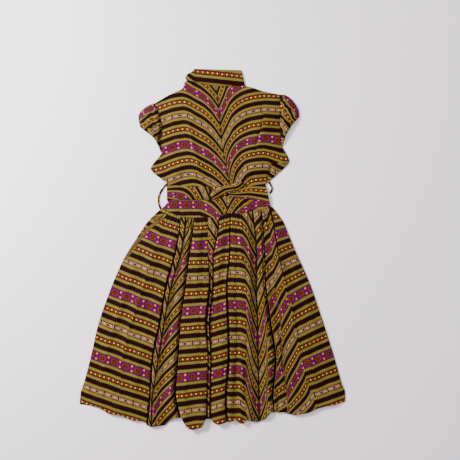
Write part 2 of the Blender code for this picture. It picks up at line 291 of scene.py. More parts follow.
def gathers(place: Array, reach: Array, spacing: float, seed: int, length: Point) -> Array:
    """Gathers of uneven width: a raised cosine for each, that dies away from the seam.

    Args:
        place: Distance along the seam.
        reach: Distance from the seam.
        spacing: Mean width of a gather.
        seed: Which run of uneven widths, heights and lengths.
        length: Shortest and longest reach of a gather.

    Returns:
        Height from 0 to 1.
    """
    random = np.random.default_rng(seed)
    low, high = float(place.min()) - spacing, float(place.max()) + spacing
    count = int((high - low) / spacing) + 2
    knots = low + np.concatenate([[0.0], np.cumsum(spacing * random.uniform(0.6, 1.4, count))])
    phase = np.interp(place, knots, np.arange(count + 1))
    size = np.interp(phase, np.arange(count + 1), random.uniform(0.45, 1.0, count + 1))
    fall = np.interp(phase, np.arange(count + 1), random.uniform(*length, count + 1))
    return size * (0.5 - 0.5 * np.cos(phase * tau)) ** 0.8 * np.exp(-((reach / fall) ** 1.3))


# ---------------------------------------------------------------------------------------------
# Cloth


@dataclass
class Cloth:
    """A piece's middle surface on a grid, and where the print lies on it, in millimetres.

    points has rows down the piece, columns across it, and x, y and z. along runs along the
    stripes and level through them. middle_and_shade is the distance from a chevron's middle line;
    on the skirt and the sleeves it also carries painted shade, set low where folds and gathers are
    painted dark. hem is the distance from a stitched edge. On a ring each row closes on itself,
    and the print's arrays have one column more than points.
    """

    points: Array
    along: Array
    level: Array
    middle_and_shade: Array | None = None
    hem: Array | None = None
    ring: bool = False

    def faces(self, columns: int, wrap: int) -> Array:
        """Four corners for each cell of the grid, wound so that the upper side faces up."""
        rows = self.points.shape[0]
        row, column = np.meshgrid(np.arange(rows - 1), np.arange(columns), indexing="ij")
        near, far = row * wrap, (row + 1) * wrap
        after = (column + 1) % wrap
        return np.stack([near + column, far + column, far + after, near + after], axis=2).reshape(-1, 4)

    def make(self, name: str, shell: float, finish: bpy.types.Material) -> bpy.types.Object:
        """Build the piece's mesh, its two UV maps and its thickness.

        Args:
            name: The object's name.
            shell: Thickness of the cloth.
            finish: Its material.

        Returns:
            The object, linked to the scene.
        """
        columns = self.points.shape[1]
        cells = columns if self.ring else columns - 1
        faces = self.faces(cells, columns)
        mesh = bpy.data.meshes.new(name)
        mesh.from_pydata((self.points.reshape(-1, 3) * MM).tolist(), [], faces.tolist())
        corners = self.faces(cells, columns + 1 if self.ring else columns).ravel()
        middle_and_shade = np.full(self.level.shape, FAR) if self.middle_and_shade is None else self.middle_and_shade
        hem = np.full(self.level.shape, FAR) if self.hem is None else self.hem
        for title, first, second in (("print", self.along, self.level), ("marks", middle_and_shade, hem)):
            pairs = np.stack([first.ravel()[corners], second.ravel()[corners]], axis=1) * MM
            mesh.uv_layers.new(name=title).data.foreach_set("uv", pairs.ravel())
        mesh.shade_smooth()
        mesh.update()
        mesh.materials.append(finish)
        piece = bpy.data.objects.new(name, mesh)
        bpy.context.scene.collection.objects.link(piece)
        thickness = piece.modifiers.new("thickness", "SOLIDIFY")
        thickness.thickness = shell * MM
        thickness.offset = 0.0
        return piece


def area_of(cloth: Cloth) -> float:
    """Area of a piece in square metres: half the cross product of each cell's diagonals, added up."""
    points = np.concatenate([cloth.points, cloth.points[:, :1]], axis=1) if cloth.ring else cloth.points
    first = points[1:, 1:] - points[:-1, :-1]
    second = points[1:, :-1] - points[:-1, 1:]
    return float(np.linalg.norm(np.cross(first, second), axis=2).sum() / 2) * MM * MM


@dataclass
class Cut:
    """What a piece stands for: its node, its cut size in metres, and how it is held."""

    node: str
    flat: tuple[float, float]
    held: Hold
    rests_on: tuple[str, ...] = ()

    def declare(self, piece: bpy.types.Object, area: float) -> None:
        """Args:
            piece: The finished object.
            area: Area of its cloth in square metres.
        """
        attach(piece, "root")
        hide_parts(self.node)
        LOG.info("%s: %.0f x %.0f mm cut, %.4f square metres", piece.name, *(v / MM for v in self.flat), area)


def finish_piece(cut: Cut, cloth: Cloth, shell: float, finish: bpy.types.Material) -> bpy.types.Object:
    piece = cloth.make("cloth_" + cut.node, shell, finish)
    cut.declare(piece, area_of(cloth))
    return piece


# ---------------------------------------------------------------------------------------------
# Shader maths


class Value:
    """A number socket, with arithmetic that adds the Math nodes for it."""

    def __init__(self, shader: "Shader", socket: Socket) -> None:
        """Wrap a socket of the shader's tree."""
        self.shader = shader
        self.socket = socket

    def math(
        self, operation: str, *others: "Value | Number", first: "Value | Number | None" = None
    ) -> "Value":
        """The result of one Math node.

        Args:
            operation: The node's operation.
            others: Its second and third inputs.
            first: Its first input, where that isn't this value.

        Returns:
            The node's output.
        """
        values = [self if first is None else first, *others]
        node = self.shader.node("ShaderNodeMath", {"operation": operation}, dict(enumerate(values)))
        return Value(self.shader, node.outputs[0])

    def __add__(self, other: "Value | Number") -> "Value":
        """Sum."""
        return self.math("ADD", other)

    __radd__ = __add__

    def __sub__(self, other: "Value | Number") -> "Value":
        """Difference."""
        return self.math("SUBTRACT", other)

    def __rsub__(self, other: Number) -> "Value":
        """Difference, reflected."""
        return self.math("SUBTRACT", self, first=other)

    def __mul__(self, other: "Value | Number") -> "Value":
        """Product."""
        return self.math("MULTIPLY", other)

    __rmul__ = __mul__

    def __truediv__(self, other: "Value | Number") -> "Value":
        """Quotient."""
        return self.math("DIVIDE", other)

    def __gt__(self, other: "Value | Number") -> "Value":
        """1 where this is greater, else 0."""
        return self.math("GREATER_THAN", other)

    def __lt__(self, other: "Value | Number") -> "Value":
        """1 where this is less, else 0."""
        return self.math("LESS_THAN", other)

    def __abs__(self) -> "Value":
        """Size without its sign."""
        return self.math("ABSOLUTE")

    def zigzag(self, half: Number) -> "Value":
        """0 at every even multiple of half, half at every odd one, straight between."""
        return self.math("PINGPONG", half)

    def most(self, other: "Value | Number") -> "Value":
        """The greater of the two."""
        return self.math("MAXIMUM", other)

    def least(self, other: "Value | Number") -> "Value":
        """The lesser of the two."""
        return self.math("MINIMUM", other)

    def between(self, low: Number, high: Number) -> "Value":
        """1 between low and high, else 0."""
        return (self > low) * (self < high)

    def over(self, low: Number, high: Number) -> "Value":
        """Smooth step from 0 at low to 1 at high."""
        inputs = {0: self, 1: low, 2: high, 3: 0.0, 4: 1.0}
        node = self.shader.node("ShaderNodeMapRange", {"interpolation_type": "SMOOTHSTEP"}, inputs)
        return Value(self.shader, node.outputs[0])


class Shader:
    """A material's node tree and its Principled shader."""

    def __init__(self, name: str) -> None:
        """Start a material with nothing but its Principled shader and its output."""
        self.material = bpy.data.materials.new(name)
        self.material.use_nodes = True
        self.tree = self.material.node_tree
        self.surface = self.tree.nodes["Principled BSDF"]

    def node(self, kind: str, settings: dict | None = None, inputs: dict | None = None) -> bpy.types.Node:
        """Add a node.

        Args:
            kind: Its type.
            settings: Its properties, set first. "stops" holds a ramp's (position, colour) rows.
            inputs: Values or links, by socket name or number.

        Returns:
            The node.
        """
        node = self.tree.nodes.new(kind)
        for title, setting in (settings or {}).items():
            if title == "stops":
                self.stops(node.color_ramp, setting)
            else:
                setattr(node, title, setting)
        for title, value in (inputs or {}).items():
            self.put(node.inputs[title], value)
        return node

    def stops(self, ramp: bpy.types.ColorRamp, rows: Sequence[tuple[float, Colour]]) -> None:
        """Fill a ramp with flat bands of colour, each from its position on."""
        ramp.interpolation = "CONSTANT"
        while len(ramp.elements) < len(rows):
            ramp.elements.new(1.0)
        for element, (position, colour) in zip(ramp.elements, rows):
            element.position = position
            element.color = colour

    def put(self, socket: Socket, value: object) -> None:
        """Link a value or an output to a socket, or set the socket's own value."""
        if isinstance(value, Value):
            self.tree.links.new(value.socket, socket)
        elif isinstance(value, Socket):
            self.tree.links.new(value, socket)
        else:
            socket.default_value = value

    def mix(self, factor: Value | Number, first: object, second: object, blending: str = "MIX") -> Socket:
        """Colour between first, at factor 0, and second laid over it, at 1."""
        settings = {"data_type": "RGBA", "blend_type": blending}
        node = self.node("ShaderNodeMix", settings, {0: factor, 6: first, 7: second})
        return node.outputs[2]

    def map(self, title: str) -> tuple[Value, Value]:
        """The two numbers of a UV map, in millimetres."""
        source = self.node("ShaderNodeUVMap", {"uv_map": title})
        parts = self.node("ShaderNodeSeparateXYZ", inputs={0: source.outputs[0]})
        return Value(self, parts.outputs[0]) / MM, Value(self, parts.outputs[1]) / MM

    def vector(self, x: Value | Number, y: Value | Number, z: Value | Number = 0.0) -> Socket:
        """A vector of three numbers."""
        return self.node("ShaderNodeCombineXYZ", inputs={0: x, 1: y, 2: z}).outputs[0]

    def noise(self, place: Socket, scale: float, detail: float) -> Value:
        """Soft noise from 0 to 1."""
        node = self.node("ShaderNodeTexNoise", inputs={"Vector": place, "Scale": scale, "Detail": detail})
        return Value(self, node.outputs[0])


def srgb(red: int, green: int, blue: int) -> Colour:
    """A colour from its 0 to 255 display values, as the renderer's linear ones."""
    display = np.array([red, green, blue]) / 255
    linear = np.where(display <= 0.04045, display / 12.92, ((display + 0.055) / 1.055) ** 2.4)
    return (*linear.tolist(), 1.0)


# ---------------------------------------------------------------------------------------------
# Finishes


@dataclass(frozen=True)
class WaxPrint:
    """The striped wax print: colours, and the widths of its stripes in millimetres.

    The stripes mirror about the middle of the magenta band and about the middle of the brick
    band, so they are worked out from the distance to the nearest magenta middle.
    """

    olive: Colour = srgb(96, 86, 32)
    dark: Colour = srgb(24, 3, 7)
    magenta: Colour = srgb(77, 2, 68)
    ground: Colour = srgb(60, 22, 18)
    gold: Colour = srgb(198, 130, 3)
    brick: Colour = srgb(130, 96, 78)
    petal: Colour = srgb(100, 44, 14)
    moss: Colour = srgb(14, 25, 9)
    rose: Colour = srgb(96, 54, 48)
    repeat: float = 217.0
    magenta_half: float = 14.5
    olive_band: float = 10.8
    dark_band: float = 14.0
    dot_band: float = 15.0
    outline: float = 1.9
    tooth: float = 3.9
    middle: float = 13.0
    dot_pitch: float = 16.0
    dot_radius: float = 3.0
    brick_pitch: float = 51.3
    brick_gap: float = 2.2
    rosette_pitch: float = 43.5
    rosette_half: Point = (15.5, 12.0)

    def bands(self) -> list[tuple[float, Colour]]:
        """The flat stripes from the magenta middle outwards, each edged with a dark line."""
        widths = (
            (self.magenta_half, self.magenta),
            (self.olive_band, self.olive),
            (self.dark_band, self.dark),
            (self.olive_band, self.olive),
            (self.dot_band, self.ground),
            (self.olive_band, self.olive),
            (self.dark_band, self.dark),
            (self.olive_band, self.olive),
            (self.magenta_half, self.brick),
        )
        rows, start, half = [], 0.0, self.repeat / 2
        for width, colour in widths:
            rows.append(((start + self.outline / 2) / half if start else 0.0, colour))
            start += width
            rows.append(((start - self.outline / 2) / half, self.dark))
        return rows[:-1]

    def dots(self, shader: Shader, along: Value, across: Value, paint: Socket) -> Socket:
        """Gold dots in dark rings, with rose bars between them.

        Args:
            shader: The material being made.
            along: Distance along the stripe.
            across: Distance from the band's middle.
            paint: The colour so far.

        Returns:
            The colour with the band's figures.
        """
        inside = across < self.dot_band / 2 - self.outline / 2
        from_dot = along.zigzag(self.dot_pitch / 2)
        from_bar = self.dot_pitch / 2 - from_dot
        round_dot = (from_dot * from_dot + across * across).math("SQRT")
        bar = (from_bar < 1.3) * (across < 4.6) * ((across - 2.4).math("ABSOLUTE") > 0.7)
        paint = shader.mix(bar * inside, paint, self.rose)
        paint = shader.mix((round_dot < self.dot_radius + 1.2) * inside, paint, self.dark)
        return shader.mix((round_dot < self.dot_radius) * inside, paint, self.gold)

    def bricks(self, shader: Shader, along: Value, across: Value, paint: Socket) -> Socket:
        """Pale bricks with a dark eye, gold squares by it, slanted strokes, and dark gaps between.

        Args:
            shader: The material being made.
            along: Distance along the stripe.
            across: Distance from the band's middle.
            paint: The colour so far.

        Returns:
            The colour with the band's figures.
        """
        inside = across < 8.0
        from_gap = along.zigzag(self.brick_pitch / 2)
        from_eye = self.brick_pitch / 2 - from_gap
        slanted = from_eye + across * 1.1
        lines = (slanted - 11.5).math("ABSOLUTE").least((slanted - 20.5).math("ABSOLUTE")) < 0.9
        rims = (across > 5.0) * (across < 6.3)
        figure = lines.most(rims) * inside
        paint = shader.mix(figure, paint, self.dark)
        squares = ((from_eye - 13.0).math("ABSOLUTE") < 2.1) * (across < 2.4)
        paint = shader.mix(squares * inside, paint, self.gold)
        lens = from_eye / 6.0 + across / 4.4
        paint = shader.mix((lens < 1.0) * inside, paint, self.dark)
        return shader.mix((from_gap < self.brick_gap) * inside, paint, self.dark)

    def rosettes(self, shader: Shader, along: Value, across: Value, paint: Socket) -> Socket:
        """Petalled rosettes with dark outlines, and a pair of gold dots between neighbours.

        The petals are a wave of the angle round the rosette added to its oval radius.

        Args:
            shader: The material being made.
            along: Distance along the stripe.
            across: Distance from the band's middle.
            paint: The colour so far.

        Returns:
            The colour with the band's figures.
        """
        inside = across < self.magenta_half - self.outline
        from_rosette = along.zigzag(self.rosette_pitch / 2)
        wide, tall = from_rosette / self.rosette_half[0], across / self.rosette_half[1]
        oval = (wide * wide + tall * tall).math("SQRT")
        petals = (tall.math("ARCTAN2", wide) * 8.0).math("COSINE")
        paint = shader.mix((oval - petals * 0.16 < 0.98) * inside, paint, self.dark)
        leaf = (petals > -0.15) * oval.between(0.40, 0.92)
        paint = shader.mix(leaf * inside, paint, self.petal)
        gap = (petals < -0.6) * oval.between(0.62, 0.9)
        paint = shader.mix(gap * inside, paint, self.magenta)
        paint = shader.mix((oval < 0.22) * inside, paint, self.petal)
        from_pair = self.rosette_pitch / 2 - from_rosette
        up = across - 8.2
        pair = (from_pair * from_pair + up * up).math("SQRT")
        paint = shader.mix((pair < 4.0) * inside, paint, self.dark)
        return shader.mix((pair < 3.0) * inside, paint, self.gold)

    def material(self, name: str) -> bpy.types.Material:
        """The printed cotton: figures, wax crackle, chevron middle lines, painted shade, weave and a soft wax
        sheen.

        Args:
            name: The material's name.

        Returns:
            The material.
        """
        shader = Shader(name)
        along, level = shader.map("print")
        middle_and_shade, hem = shader.map("marks")
        plane = shader.vector(along, level)
        wander = shader.noise(plane, 0.045, 2.0) - 0.5
        teeth = along.zigzag(self.tooth) / self.tooth - 0.5
        distance = (level - self.middle + wander * 2.2).zigzag(self.repeat / 2)
        serrated = (distance + teeth * 2.6) / (self.repeat / 2)
        ramp = shader.node("ShaderNodeValToRGB", {"stops": self.bands()}, {0: serrated})
        paint = ramp.outputs[0]
        dot_middle = self.magenta_half + 2 * self.olive_band + self.dark_band + self.dot_band / 2
        paint = self.dots(shader, along, abs(distance - dot_middle), paint)
        paint = self.bricks(shader, along, self.repeat / 2 - distance, paint)
        paint = self.rosettes(shader, along, distance, paint)

        # Dark down the chevrons' middle lines as print, and painted shade where the mark is set low: in the
        # skirt's folds, at the top of one crease and in the sleeves' gathered valleys.
        paint = shader.mix(middle_and_shade < DARK_MIDDLE_AND_SHADE, paint, self.dark)
        paint = shader.mix(middle_and_shade < MIDDLE_GREEN, paint, self.moss)

        to_edge = {"feature": "DISTANCE_TO_EDGE"}
        crackle = shader.node("ShaderNodeTexVoronoi", to_edge, {"Vector": plane, "Scale": 0.11})
        crack = 1.0 - Value(shader, crackle.outputs[0]).over(0.0, 0.045)
        broken = shader.noise(plane, 0.09, 3.0).over(0.5, 0.68)
        paint = shader.mix(crack * broken * 0.5, paint, self.dark)
        fade = shader.noise(plane, 0.02, 4.0)
        speckle = shader.noise(plane, 0.5, 2.0)
        tone = fade * 0.7 + speckle * 0.9 + 0.2
        paint = shader.mix(1.0, paint, shader.vector(tone, tone, tone), "MULTIPLY")

        threads = (along * (tau / 0.9)).math("SINE") * (level * (tau / 0.9)).math("SINE")
        rumple = shader.noise(plane, 0.035, 3.0)
        stitch = hem.between(11.0, 12.2) * (along.zigzag(1.6) > 0.5)
        height = rumple * 1.6 + threads * 0.05 + stitch * 0.25
        bump = shader.node("ShaderNodeBump", inputs={"Strength": 0.5, "Distance": MM, "Height": height})
        shader.put(shader.surface.inputs["Base Color"], paint)
        shader.put(shader.surface.inputs["Normal"], bump.outputs[0])
        shader.put(shader.surface.inputs["Roughness"], fade * 0.2 + 0.62)
        shader.put(shader.surface.inputs["Specular IOR Level"], 0.03)
        return shader.material


@dataclass(frozen=True)
class Board:
    """The pale matt board that the dress lies on."""

    colour: Colour = srgb(238, 229, 236)

    def material(self) -> bpy.types.Material:
        """A pale board with very faint unevenness."""
        shader = Shader("pale_board")
        source = shader.node("ShaderNodeTexCoord")
        uneven = shader.noise(source.outputs["Object"], 1.2, 2.0)
        paint = shader.mix(uneven * 0.3, self.colour, srgb(214, 209, 214))
        shader.put(shader.surface.inputs["Base Color"], paint)
        shader.put(shader.surface.inputs["Roughness"], 0.75)
        return shader.material


# ---------------------------------------------------------------------------------------------
# Bodice


@dataclass(frozen=True)
class BodiceLine:
    """A line down the bodice from its top edge to the waist, at ten levels."""

    name: str
    lift: float
    points: tuple[Point, ...]


@dataclass
class Bodice:
    """The bodice's front and back, from the neck and shoulders to the waist seam."""

    rise: tuple[float, ...] = (0.20, 0.55, 0.90, 1.0, 1.0, 0.90, 1.0, 0.55, 0.0, 0.0)
    lines: tuple[BodiceLine, ...] = (
        BodiceLine("side_left", 0.0, ((-192, 482), (-178, 452), (-170, 424), (-168, 396), (-175, 362),
                                      (-168, 320), (-205, 266), (-166, 229), (-146, 214), (-147, 185))),
        BodiceLine("outer_left", 6.0, ((-148, 508), (-138, 479), (-130, 448), (-125, 417), (-123, 381),
                                       (-116, 332), (-124, 276), (-104, 239), (-96, 214), (-96, 185))),
        BodiceLine("crease_left", 11.0, ((-100, 531), (-92, 501), (-86, 468), (-79, 434), (-71, 392),
                                         (-62, 341), (-50, 283), (-43, 243), (-40, 214), (-40, 185))),
        BodiceLine("neck_left", 9.0, ((-84, 557), (-70, 514), (-60, 474), (-50, 438), (-40, 395),
                                      (-30, 344), (-16, 286), (-6, 245), (0, 214), (2, 185))),
        BodiceLine("spine", 8.0, ((10, 540), (16, 508), (20, 474), (23, 438), (27, 395),
                                  (32, 345), (43, 288), (51, 246), (57, 214), (58, 185))),
        BodiceLine("neck_right", 9.0, ((107, 540), (112, 505), (116, 470), (117, 433), (112, 390),
                                       (105, 345), (106, 290), (110, 250), (112, 214), (112, 185))),
        BodiceLine("crease_right", 11.0, ((167, 523), (169, 491), (170, 459), (168, 424), (160, 384),
                                          (151, 345), (153, 291), (150, 251), (146, 214), (146, 185))),
        BodiceLine("side_right", 0.0, ((225, 511), (225, 481), (223, 451), (224, 418), (226, 380),
                                       (231, 340), (254, 289), (209, 242), (177, 214), (176, 185))),
    )
    across: tuple[int, ...] = (18, 18, 8, 24, 30, 20, 20)
    down: int = 13
    # Height of a stripe above its point of the V, against the distance from the V's middle.
    arch_left: tuple[Point, ...] = ((0, 0), (14, 24), (27, 43), (50, 65), (75, 80), (96, 93), (118, 99),
                                    (150, 95), (185, 84), (215, 73), (256, 64))
    arch_right_high: tuple[Point, ...] = ((0, 0), (12, 24), (24, 45), (39, 71), (61, 91), (87, 105),
                                          (112, 112), (149, 118), (200, 117))
    arch_right_low: tuple[Point, ...] = ((0, 0), (8, 34), (23, 70), (41, 95), (64, 117), (86, 125),
                                         (131, 128), (154, 118), (190, 100))
    point_y: float = 246.0
    squeeze: float = 0.894
    creases: tuple[Crease, ...] = (
        Crease(((-84, 470), (-82, 444), (-66, 356), (-48, 269), (-41, 225)), 2.6, 6.0, 1.5),
        Crease(((168, 470), (169, 448), (165, 408), (147, 356), (144, 312)), -2.6, 4.5, -5.0),
        Crease(((204, 300), (197, 288), (194, 265), (184, 236), (176, 218)), -3.4, 4.0, -2.0),
        Crease(((-172, 322), (-140, 345), (-106, 368)), 2.6, 8.0),
        Crease(((-170, 312), (-136, 330), (-96, 338)), -2.0, 7.0),
        Crease(((232, 334), (204, 344), (176, 362)), 2.4, 8.0),
        Crease(((228, 326), (196, 330), (160, 326)), -1.8, 7.0),
        Crease(((-146, 220), (-120, 246), (-104, 286)), 2.0, 8.0),
        Crease(((-110, 218), (-92, 240), (-86, 266)), -1.8, 6.0),
        Crease(((-60, 214), (-54, 236), (-66, 262)), 1.8, 6.0),
        Crease(((96, 214), (120, 240), (134, 268)), 2.2, 7.0),
        Crease(((72, 214), (96, 250), (112, 292)), -2.0, 6.0),
        Crease(((62, 222), (74, 262), (84, 306)), 1.6, 5.0),
        Crease(((-178, 440), (-150, 432), (-122, 440)), 1.5, 9.0),
        Crease(((226, 440), (204, 428), (180, 430)), 1.5, 9.0),
        Crease(((-176, 402), (-152, 398), (-134, 408)), -1.6, 8.0),
        Crease(((224, 400), (206, 394), (188, 402)), -1.6, 8.0),
    )

    def grid(self, levels_z: tuple[float, ...], puff: float) -> Array:
        """The cage's lines carried across by splines, then down: rows from the top edge.

        Args:
            levels_z: Height of the flat cloth at each level.
            puff: How much of the lines' lift is used.

        Returns:
            The grid of points.
        """
        cage = np.array([
            np.column_stack([line.points, np.array(levels_z) + np.array(self.rise) * line.lift * puff])
            for line in self.lines
        ])
        columns = spline(cage, places(self.across))
        at = places([self.down] * 9)
        grid = spline(columns.transpose(1, 0, 2), at)
        floor = spline(np.array(levels_z)[:, None], at, 0.0)
        grid[..., 2] = np.maximum(grid[..., 2], floor)
        return grid

    def spine_column(self) -> int:
        """The column of the V's middle line."""
        return sum(self.across[:4])

    def arch(self, x: Array, y: Array, grid: Array) -> Array:
        """How far a stripe at each point has risen from its point on the V's middle line.

        Args:
            x: Across.
            y: Up.
            grid: The piece's points, whose spine column is the middle line.

        Returns:
            The rise in millimetres, from the left table or from a blend of the two right ones.
        """
        spine = grid[::-1, self.spine_column()]
        away = x - np.interp(y, spine[:, 1], spine[:, 0])
        high = ease(y, 250.0, 400.0)
        right = graph(self.arch_right_high, away) * high + graph(self.arch_right_low, away) * (1 - high)
        return np.where(away < 0, graph(self.arch_left, -away), right)

    def front(self, finish: bpy.types.Material) -> Array:
        """Make the front, and return its grid for the pieces that are sewn to it."""
        plain = self.grid((FRONT_Z,) * 8 + (WAIST_FRONT_Z,) * 2, 1.0)
        points = plain.copy()
        x, y = points[..., 0], points[..., 1]
        height, shift = creased(x, y, self.creases)
        from_left = np.arange(points.shape[1])
        inner = np.minimum(ease(from_left, 0, 6), ease(from_left[::-1], 0, 6))
        free = inner[None] * ease(y, 206.0, 236.0)
        swell = ripple(x, y, 90.0, 4) * 0.8 + ripple(x, y, 38.0, 5) * 0.35
        floor = np.where(y < 222, WAIST_FRONT_Z, FRONT_Z)
        points[..., 2] = np.maximum(points[..., 2] + (height + swell) * free, floor)
        flap_x = np.interp(y, (218, 236, 265, 288), (176, 184, 194, 197))
        flap = ease(x - flap_x, -1.0, 1.0) * ease(-y, -286.0, -283.0)
        level = WaxPrint.middle + (y - self.arch(x, y, plain) - self.point_y) / self.squeeze
        level += shift + 0.2 * height + 9.0 * flap
        along = stripe_length(x, level, y, points[..., 2], self.spine_column())
        cloth = Cloth(points, along, level, np.abs(along))
        finish_piece(Cut("bodice_front", (0.465, 0.385), Hold.LAID, ("bodice_back",)), cloth, SHELL, finish)
        return plain

    def back(self, finish: bpy.types.Material) -> None:
        """Make the back, pressed flat on the surface."""
        points = self.grid((BACK_Z,) * 8 + (WAIST_BACK_Z,) * 2, 0.0)
        x, y = points[..., 0], points[..., 1]
        level = y / self.squeeze + 0.25 * np.abs(x - 20.0)
        along = stripe_length(x, level, y, points[..., 2], self.spine_column())
        cut = Cut("bodice_back", (0.465, 0.385), Hold.LAID, ("belt_back",))
        finish_piece(cut, Cloth(points, along, level), SHELL, finish)


# ---------------------------------------------------------------------------------------------
# Sleeves and collar


def flat_tube(upper: Array, height: Array, out_z: float, turn: dict[int, Array], rounds: int) -> Array:
    """Closed rows round a flattened tube: the upper cloth, a half-turn, the lower cloth, another.

    Each half-turn is part of a circle in the plane of its edge's turn direction and up.

    Args:
        upper: The upper cloth's points seen from above.
        height: Its height above out_z.
        out_z: Height of the upper cloth at its edges.
        turn: How far out each edge bulges, by column: 0 and -1.
        rounds: Points in each half-turn.

    Returns:
        The grid of closed rows.
    """
    rows, columns = upper.shape[:2]
    top = np.concatenate([upper, (out_z + height)[..., None]], axis=2)
    under = np.concatenate([upper[:, ::-1], np.full((rows, columns, 1), BACK_Z)], axis=2)
    angles = np.linspace(0.0, pi, rounds + 2)[1:-1]
    ends = {}
    for edge, down in ((-1, 1.0), (0, -1.0)):
        middle = (out_z + BACK_Z) / 2
        z = middle + down * (out_z - BACK_Z) / 2 * np.cos(angles)
        flat = upper[:, edge][:, None] + turn[edge][None, None] * np.sin(angles)[None, :, None]
        ends[edge] = np.concatenate([flat, np.broadcast_to(z[None, :, None], (rows, rounds, 1))], axis=2)
    return np.concatenate([top, ends[-1], under, ends[0]], axis=1)


def closed(values: Array) -> Array:
    """A ring's values with one column more, going on past the last by the step before it."""
    return np.concatenate([values, 2 * values[:, -1:] - values[:, -2:-1]], axis=1)


@dataclass
class Sleeve:
    """A puffed cap sleeve, gathered at the armhole and at the cuff."""

    node: str
    out: int
    crown: tuple[Point, ...]
    cuff: tuple[Point, ...]
    way: Point
    start: Point
    seed: int
    rows: int = 26
    columns: int = 76
    puff: float = 9.0
    squeeze: float = 0.6
    # The stretch over which the cloth rises from the armhole seam.
    sewn: float = 7.0

    def make(self, seam: Array, finish: bpy.types.Material) -> None:
        """Make the sleeve on the bodice's armhole edge.

        Args:
            seam: The armhole's points on the bodice front, from the shoulder to the armpit.
            finish: The printed cotton.
        """
        armhole = resample(seam + np.array((self.out * 0.5, 0.0)), self.columns)
        crown = rounded(self.crown, self.rows)
        crown += (armhole[0] - crown[0]) * np.linspace(1.0, 0.0, self.rows)[:, None]
        cuff = rounded(self.cuff, self.columns)
        underarm = resample(np.array((armhole[-1], cuff[-1])), self.rows)
        upper = blend(armhole, cuff, crown, underarm)
        out = np.linspace(0.0, 1.0, self.rows)[:, None]
        round_it = np.linspace(0.0, 1.0, self.columns)[None]
        fullness = 0.15 + 0.85 * np.sin(pi * np.clip(out * 0.86 + 0.05, 0, 1)) ** 0.8
        dome = np.sin(pi * round_it) ** 0.7 * fullness
        length = np.linspace(0.0, 175.0, self.columns)[None]
        at_seam = gathers(length + 0 * out, out * 52.0, 12.0, self.seed, (16.0, 46.0))
        at_cuff = gathers(length + 0 * out, (1 - out) * 52.0, 10.0, self.seed + 1, (12.0, 34.0))
        folds = (at_seam * 4.2 + at_cuff * 3.4) * np.sin(pi * round_it) ** 0.4
        from_seam = np.linalg.norm(upper - armhole[None], axis=2)
        height = (dome * self.puff + folds) * ease(from_seam, 0.0, self.sewn)
        turn = {0: np.array((self.out * 1.2, 0.9)), -1: np.array((self.out * 0.4, -0.6))}
        points = flat_tube(upper, height, 3.4, turn, 3)
        x, y = points[..., 0], points[..., 1]
        right, up = x - self.start[0], y - self.start[1]
        level = WaxPrint.middle + (right * self.way[0] + up * self.way[1]) / self.squeeze
        crinkle = ripple(x, y, 46.0, self.seed) * 4.5 + ripple(x, y, 17.0, self.seed + 2) * 3.4
        level[:, : self.columns] += folds * 1.6 + crinkle[:, : self.columns]
        along = (right * self.way[1] - up * self.way[0]) / 0.9
        middle_and_shade = np.full(closed(level).shape, FAR)
        # Painted shade: a thin dark line in each gather's valley along the armhole seam and the cuff.
        deep = np.minimum(at_seam * 16.0 + out * 30.0, at_cuff * 20.0 + (1 - out) * 60.0)
        middle_and_shade[:, : self.columns] = 1.6 + deep
        cloth = Cloth(points, closed(along), closed(level), middle_and_shade, ring=True)
        cut = Cut(self.node, (0.355, 0.11), Hold.GATHERED, ())
        finish_piece(cut, cloth, TUBE_SHELL, finish)


@dataclass
class Collar:
    """The tall stand collar, a ring of cloth laid flat on the neck seam."""

    left: tuple[Point, ...] = ((-84, 557), (-89, 567), (-82, 579), (-70, 586), (-58, 596.6))
    right: tuple[Point, ...] = ((107, 540), (104, 553), (101, 566), (98, 579), (94, 592))
    rows: int = 22
    columns: int = 90
    puff: float = 4.0
    # The stretch over which the cloth rises from the neck seam.
    sewn: float = 8.0

    def make(self, seam: Array, finish: bpy.types.Material) -> None:
        """Make the collar on the bodice's neck edge.

        Args:
            seam: The neck edge's points on the bodice front, from left to right.
            finish: The printed cotton.
        """
        base = resample(seam + np.array((0.0, 0.3)), self.columns)
        left = rounded(self.left, self.rows)
        right = rounded(self.right, self.rows, 0.0)
        left += (base[0] - left[0]) * np.linspace(1.0, 0.0, self.rows)[:, None]
        right += (base[-1] - right[0]) * np.linspace(1.0, 0.0, self.rows)[:, None]
        top = resample(np.array((left[-1], right[-1])), self.columns)
        upper = blend(base, top, left, right)
        up = np.linspace(0.0, 1.0, self.rows)[:, None]
        round_it = np.linspace(0.0, 1.0, self.columns)[None]
        height = self.puff * np.sin(pi * round_it) ** 0.5 * (0.5 + 0.5 * np.sin(pi * (up * 0.8 + 0.2)))
        folds, _ = creased(upper[..., 0], upper[..., 1], (
            Crease(((-86, 566), (-60, 556), (-20, 552), (30, 556)), 1.6, 6.0),
            Crease(((-80, 580), (-50, 572), (0, 570)), -1.2, 7.0),
            Crease(((104, 562), (70, 566), (30, 574)), 1.0, 7.0),
        ))
        height = (height + folds) * (0.1 + 0.9 * ease(up * 50.0, 0.0, self.sewn))
        points = flat_tube(upper, height, 3.9, {0: np.array((-0.9, 0.3)), -1: np.array((0.9, 0.0))}, 3)
        x, y = points[..., 0], points[..., 1]
        dots_y = 587.0 - 0.106 * (x + 50.0) + 12.0 * (np.clip(-50.0 - x, 0.0, None) / 30.0) ** 2
        level = 70.6 + (y - dots_y)
        cloth = Cloth(points, closed(x + 0.0), closed(level), ring=True)
        cut = Cut("collar", (0.40, 0.06), Hold.LAID, ())
        finish_piece(cut, cloth, TUBE_SHELL, finish)


# ---------------------------------------------------------------------------------------------
# Skirt


